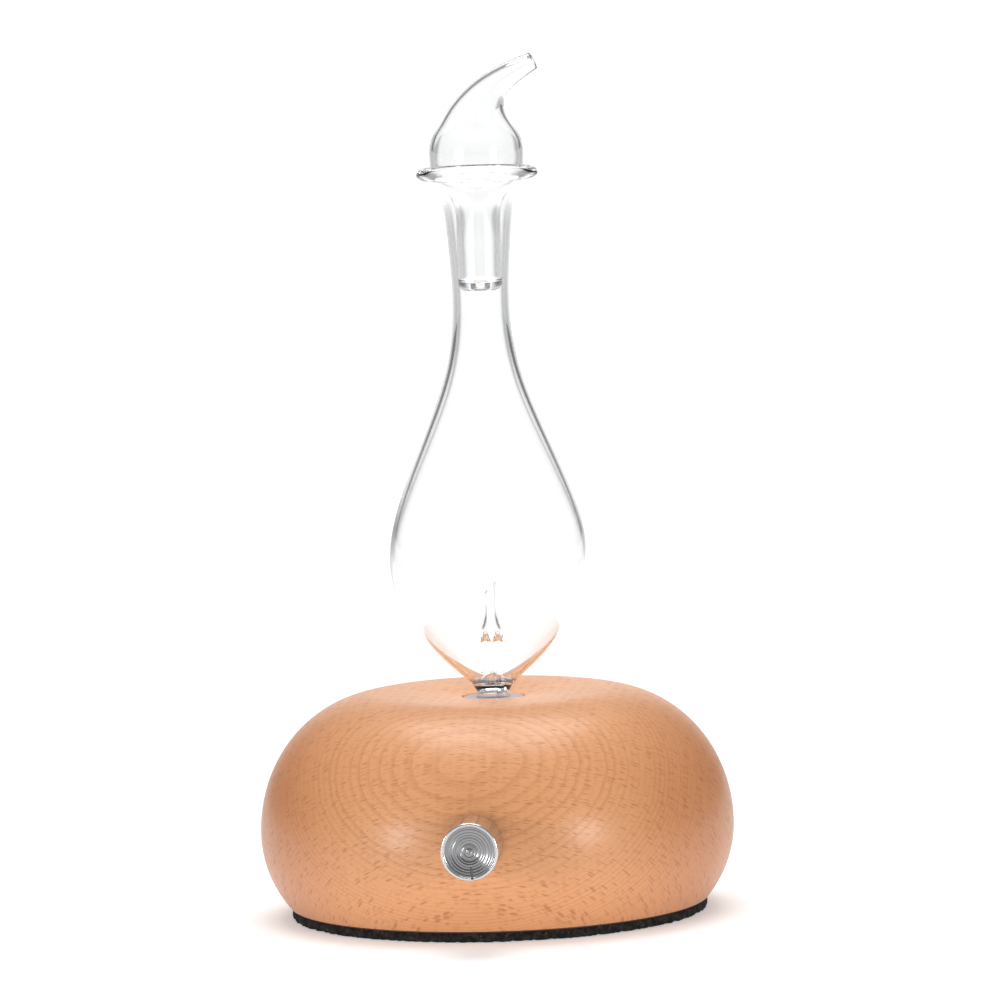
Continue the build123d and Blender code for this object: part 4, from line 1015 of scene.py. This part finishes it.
class DIFFUSER_OT_stage(Maker):
    """Sets the white floor, the soft windows of light, the sky and the camera"""

    bl_idname = "diffuser.stage"
    bl_label = "Stage"

    def make(self, scene):
        looks = scene.diffuser_stage
        self.floor(looks)
        self.windows(looks)
        self.sky(scene)
        self.camera(scene)
        scene.view_settings.view_transform = "Standard"
        scene.cycles.max_bounces = 24
        scene.cycles.transmission_bounces = 20
        scene.cycles.transparent_max_bounces = 24
        scene.cycles.glossy_bounces = 12
        scene.cycles.diffuse_bounces = 4
        scene.cycles.sample_clamp_indirect = 6.0

    def floor(self, looks):
        deselect()
        bpy.ops.mesh.primitive_plane_add(size=14, location=(0, 0, 0))
        floor = bpy.context.object
        floor.name = "white_floor"
        shade = Shade("white_floor", Roughness=0.9, Specular_IOR_Level=0.1)
        faint = shade.noise(shade.place(), 3.0, 1.0)
        colour = shade.blend(faint, (0.80, 0.80, 0.80), (0.81, 0.81, 0.81))
        spot = shade.place()
        away = shade.vector("LENGTH", spot, out="Value").ease(0.45, 1.5)
        aside = shade.along(spot, ACROSS).maths("ABSOLUTE")
        widening = shade.along(spot, TO_BACK).maths("MAXIMUM", 0.0) * 0.075
        aside = (aside - widening).ease(0.17, 0.60)
        front = (-shade.along(spot, TO_BACK)).ease(0.16, 0.7)
        away = away * (1 - aside) - aside * looks.side_loss - front * 0.5
        colour = shade.blend((front + aside * 0.8).ease(0.0, 1.0) * 0.7, colour, (0.2, 0.2, 0.2))
        glow = shade.blend(away, (looks.floor_glow,) * 3, (looks.far_glow,) * 3)
        shade.shader.inputs["Emission Strength"].default_value = 1.0
        floor.data.materials.append(shade.wear(Base_Color=colour, Emission_Color=glow))

    def windows(self, looks):
        self.window("window_left", looks.key_power, (0.36, 0.36), -48, 1.45, 0.22)
        self.window("window_right", looks.key_power, (0.36, 0.36), 43, 1.45, 0.22)
        self.window("window_top", looks.top_power, (1.0, 1.0), 180, 0.30, 1.35)

    def window(self, name, power, size, bearing, away, height):
        """A soft rectangular light that faces the object from a bearing off the camera's side."""
        angle = math.radians(FRONT_BEARING + bearing)
        spot = Vector((away * math.cos(angle), away * math.sin(angle), height))
        deselect()
        bpy.ops.object.light_add(type="AREA", location=spot)
        light = bpy.context.object
        light.name = name
        light.data.shape = "RECTANGLE"
        light.data.size = size[0]
        light.data.size_y = size[1]
        light.data.energy = power
        light.rotation_euler = (Vector((0, 0, 0.06)) - spot).to_track_quat("-Z", "Y").to_euler()

    def sky(self, scene):
        world = bpy.data.worlds.new("studio")
        scene.world = world
        world.use_nodes = True
        web = Web(world.node_tree)
        background = web.tree.nodes["Background"]
        way = web.node("ShaderNodeTexCoord", {}, [], "Generated")
        behind = web.along(way, TO_BACK).ease(0.86, 0.99)
        above = way.part("Z").ease(0.0, 0.95)
        light = 0.16 + behind * (1 - above) * 0.95 + above * 0.25
        web.tree.links.new(web.join(light, light, light).socket, background.inputs["Color"])

    def camera(self, scene):
        deselect()
        bearing = math.radians(FRONT_BEARING)
        distance = 2.2
        spot = Vector((distance * math.cos(bearing), distance * math.sin(bearing), 0.3357))
        bpy.ops.object.camera_add(location=spot)
        camera = bpy.context.object
        camera.name = "camera"
        aim = (Vector((0.0035, 0.0003, 0.1134)) - spot).to_track_quat("-Z", "Y").to_matrix().to_4x4()
        roll = Matrix.Rotation(math.radians(-1.8), 4, "Z")
        camera.rotation_euler = (aim @ roll).to_euler()
        camera.data.lens = 290.8
        camera.data.sensor_width = 36
        camera.data.clip_start = 0.05
        camera.data.clip_end = 60
        camera.data.dof.use_dof = False
        scene.camera = camera


class DIFFUSER_PT_panel(bpy.types.Panel):
    """Lists the sizes, colours and pieces of the diffuser"""

    bl_idname = "DIFFUSER_PT_panel"
    bl_label = "Essential Oil Diffuser"
    bl_space_type = "VIEW_3D"
    bl_region_type = "UI"
    bl_category = "Diffuser"

    def draw(self, context):
        scene = context.scene
        groups = (scene.diffuser_wood, scene.diffuser_glass, scene.diffuser_metal, scene.diffuser_stage)
        for group in groups:
            box = self.layout.box()
            for key in group.__annotations__:
                box.prop(group, key)
        for maker in MAKERS:
            self.layout.operator(maker.bl_idname)


GROUPS = {
    "diffuser_wood": DiffuserWood,
    "diffuser_glass": DiffuserGlass,
    "diffuser_metal": DiffuserMetal,
    "diffuser_stage": DiffuserStage,
}
MAKERS = (
    DIFFUSER_OT_wood_base,
    DIFFUSER_OT_foot_pad,
    DIFFUSER_OT_light_ring,
    DIFFUSER_OT_glass_bottle,
    DIFFUSER_OT_jet,
    DIFFUSER_OT_glass_cap,
    DIFFUSER_OT_knob,
    DIFFUSER_OT_inner_parts,
    DIFFUSER_OT_stage,
)


def register():
    for kind in (*GROUPS.values(), *MAKERS, DIFFUSER_PT_panel):
        bpy.utils.register_class(kind)
    for name, kind in GROUPS.items():
        setattr(bpy.types.Scene, name, PointerProperty(type=kind))


def unregister():
    for name in GROUPS:
        delattr(bpy.types.Scene, name)
    for kind in (DIFFUSER_PT_panel, *reversed(MAKERS), *reversed(GROUPS.values())):
        bpy.utils.unregister_class(kind)


def main():
    """Makes every piece in order."""
    register()
    for maker in MAKERS:
        group, name = maker.bl_idname.split(".")
        getattr(getattr(bpy.ops, group), name)()


if __name__ == "__main__":
    main()
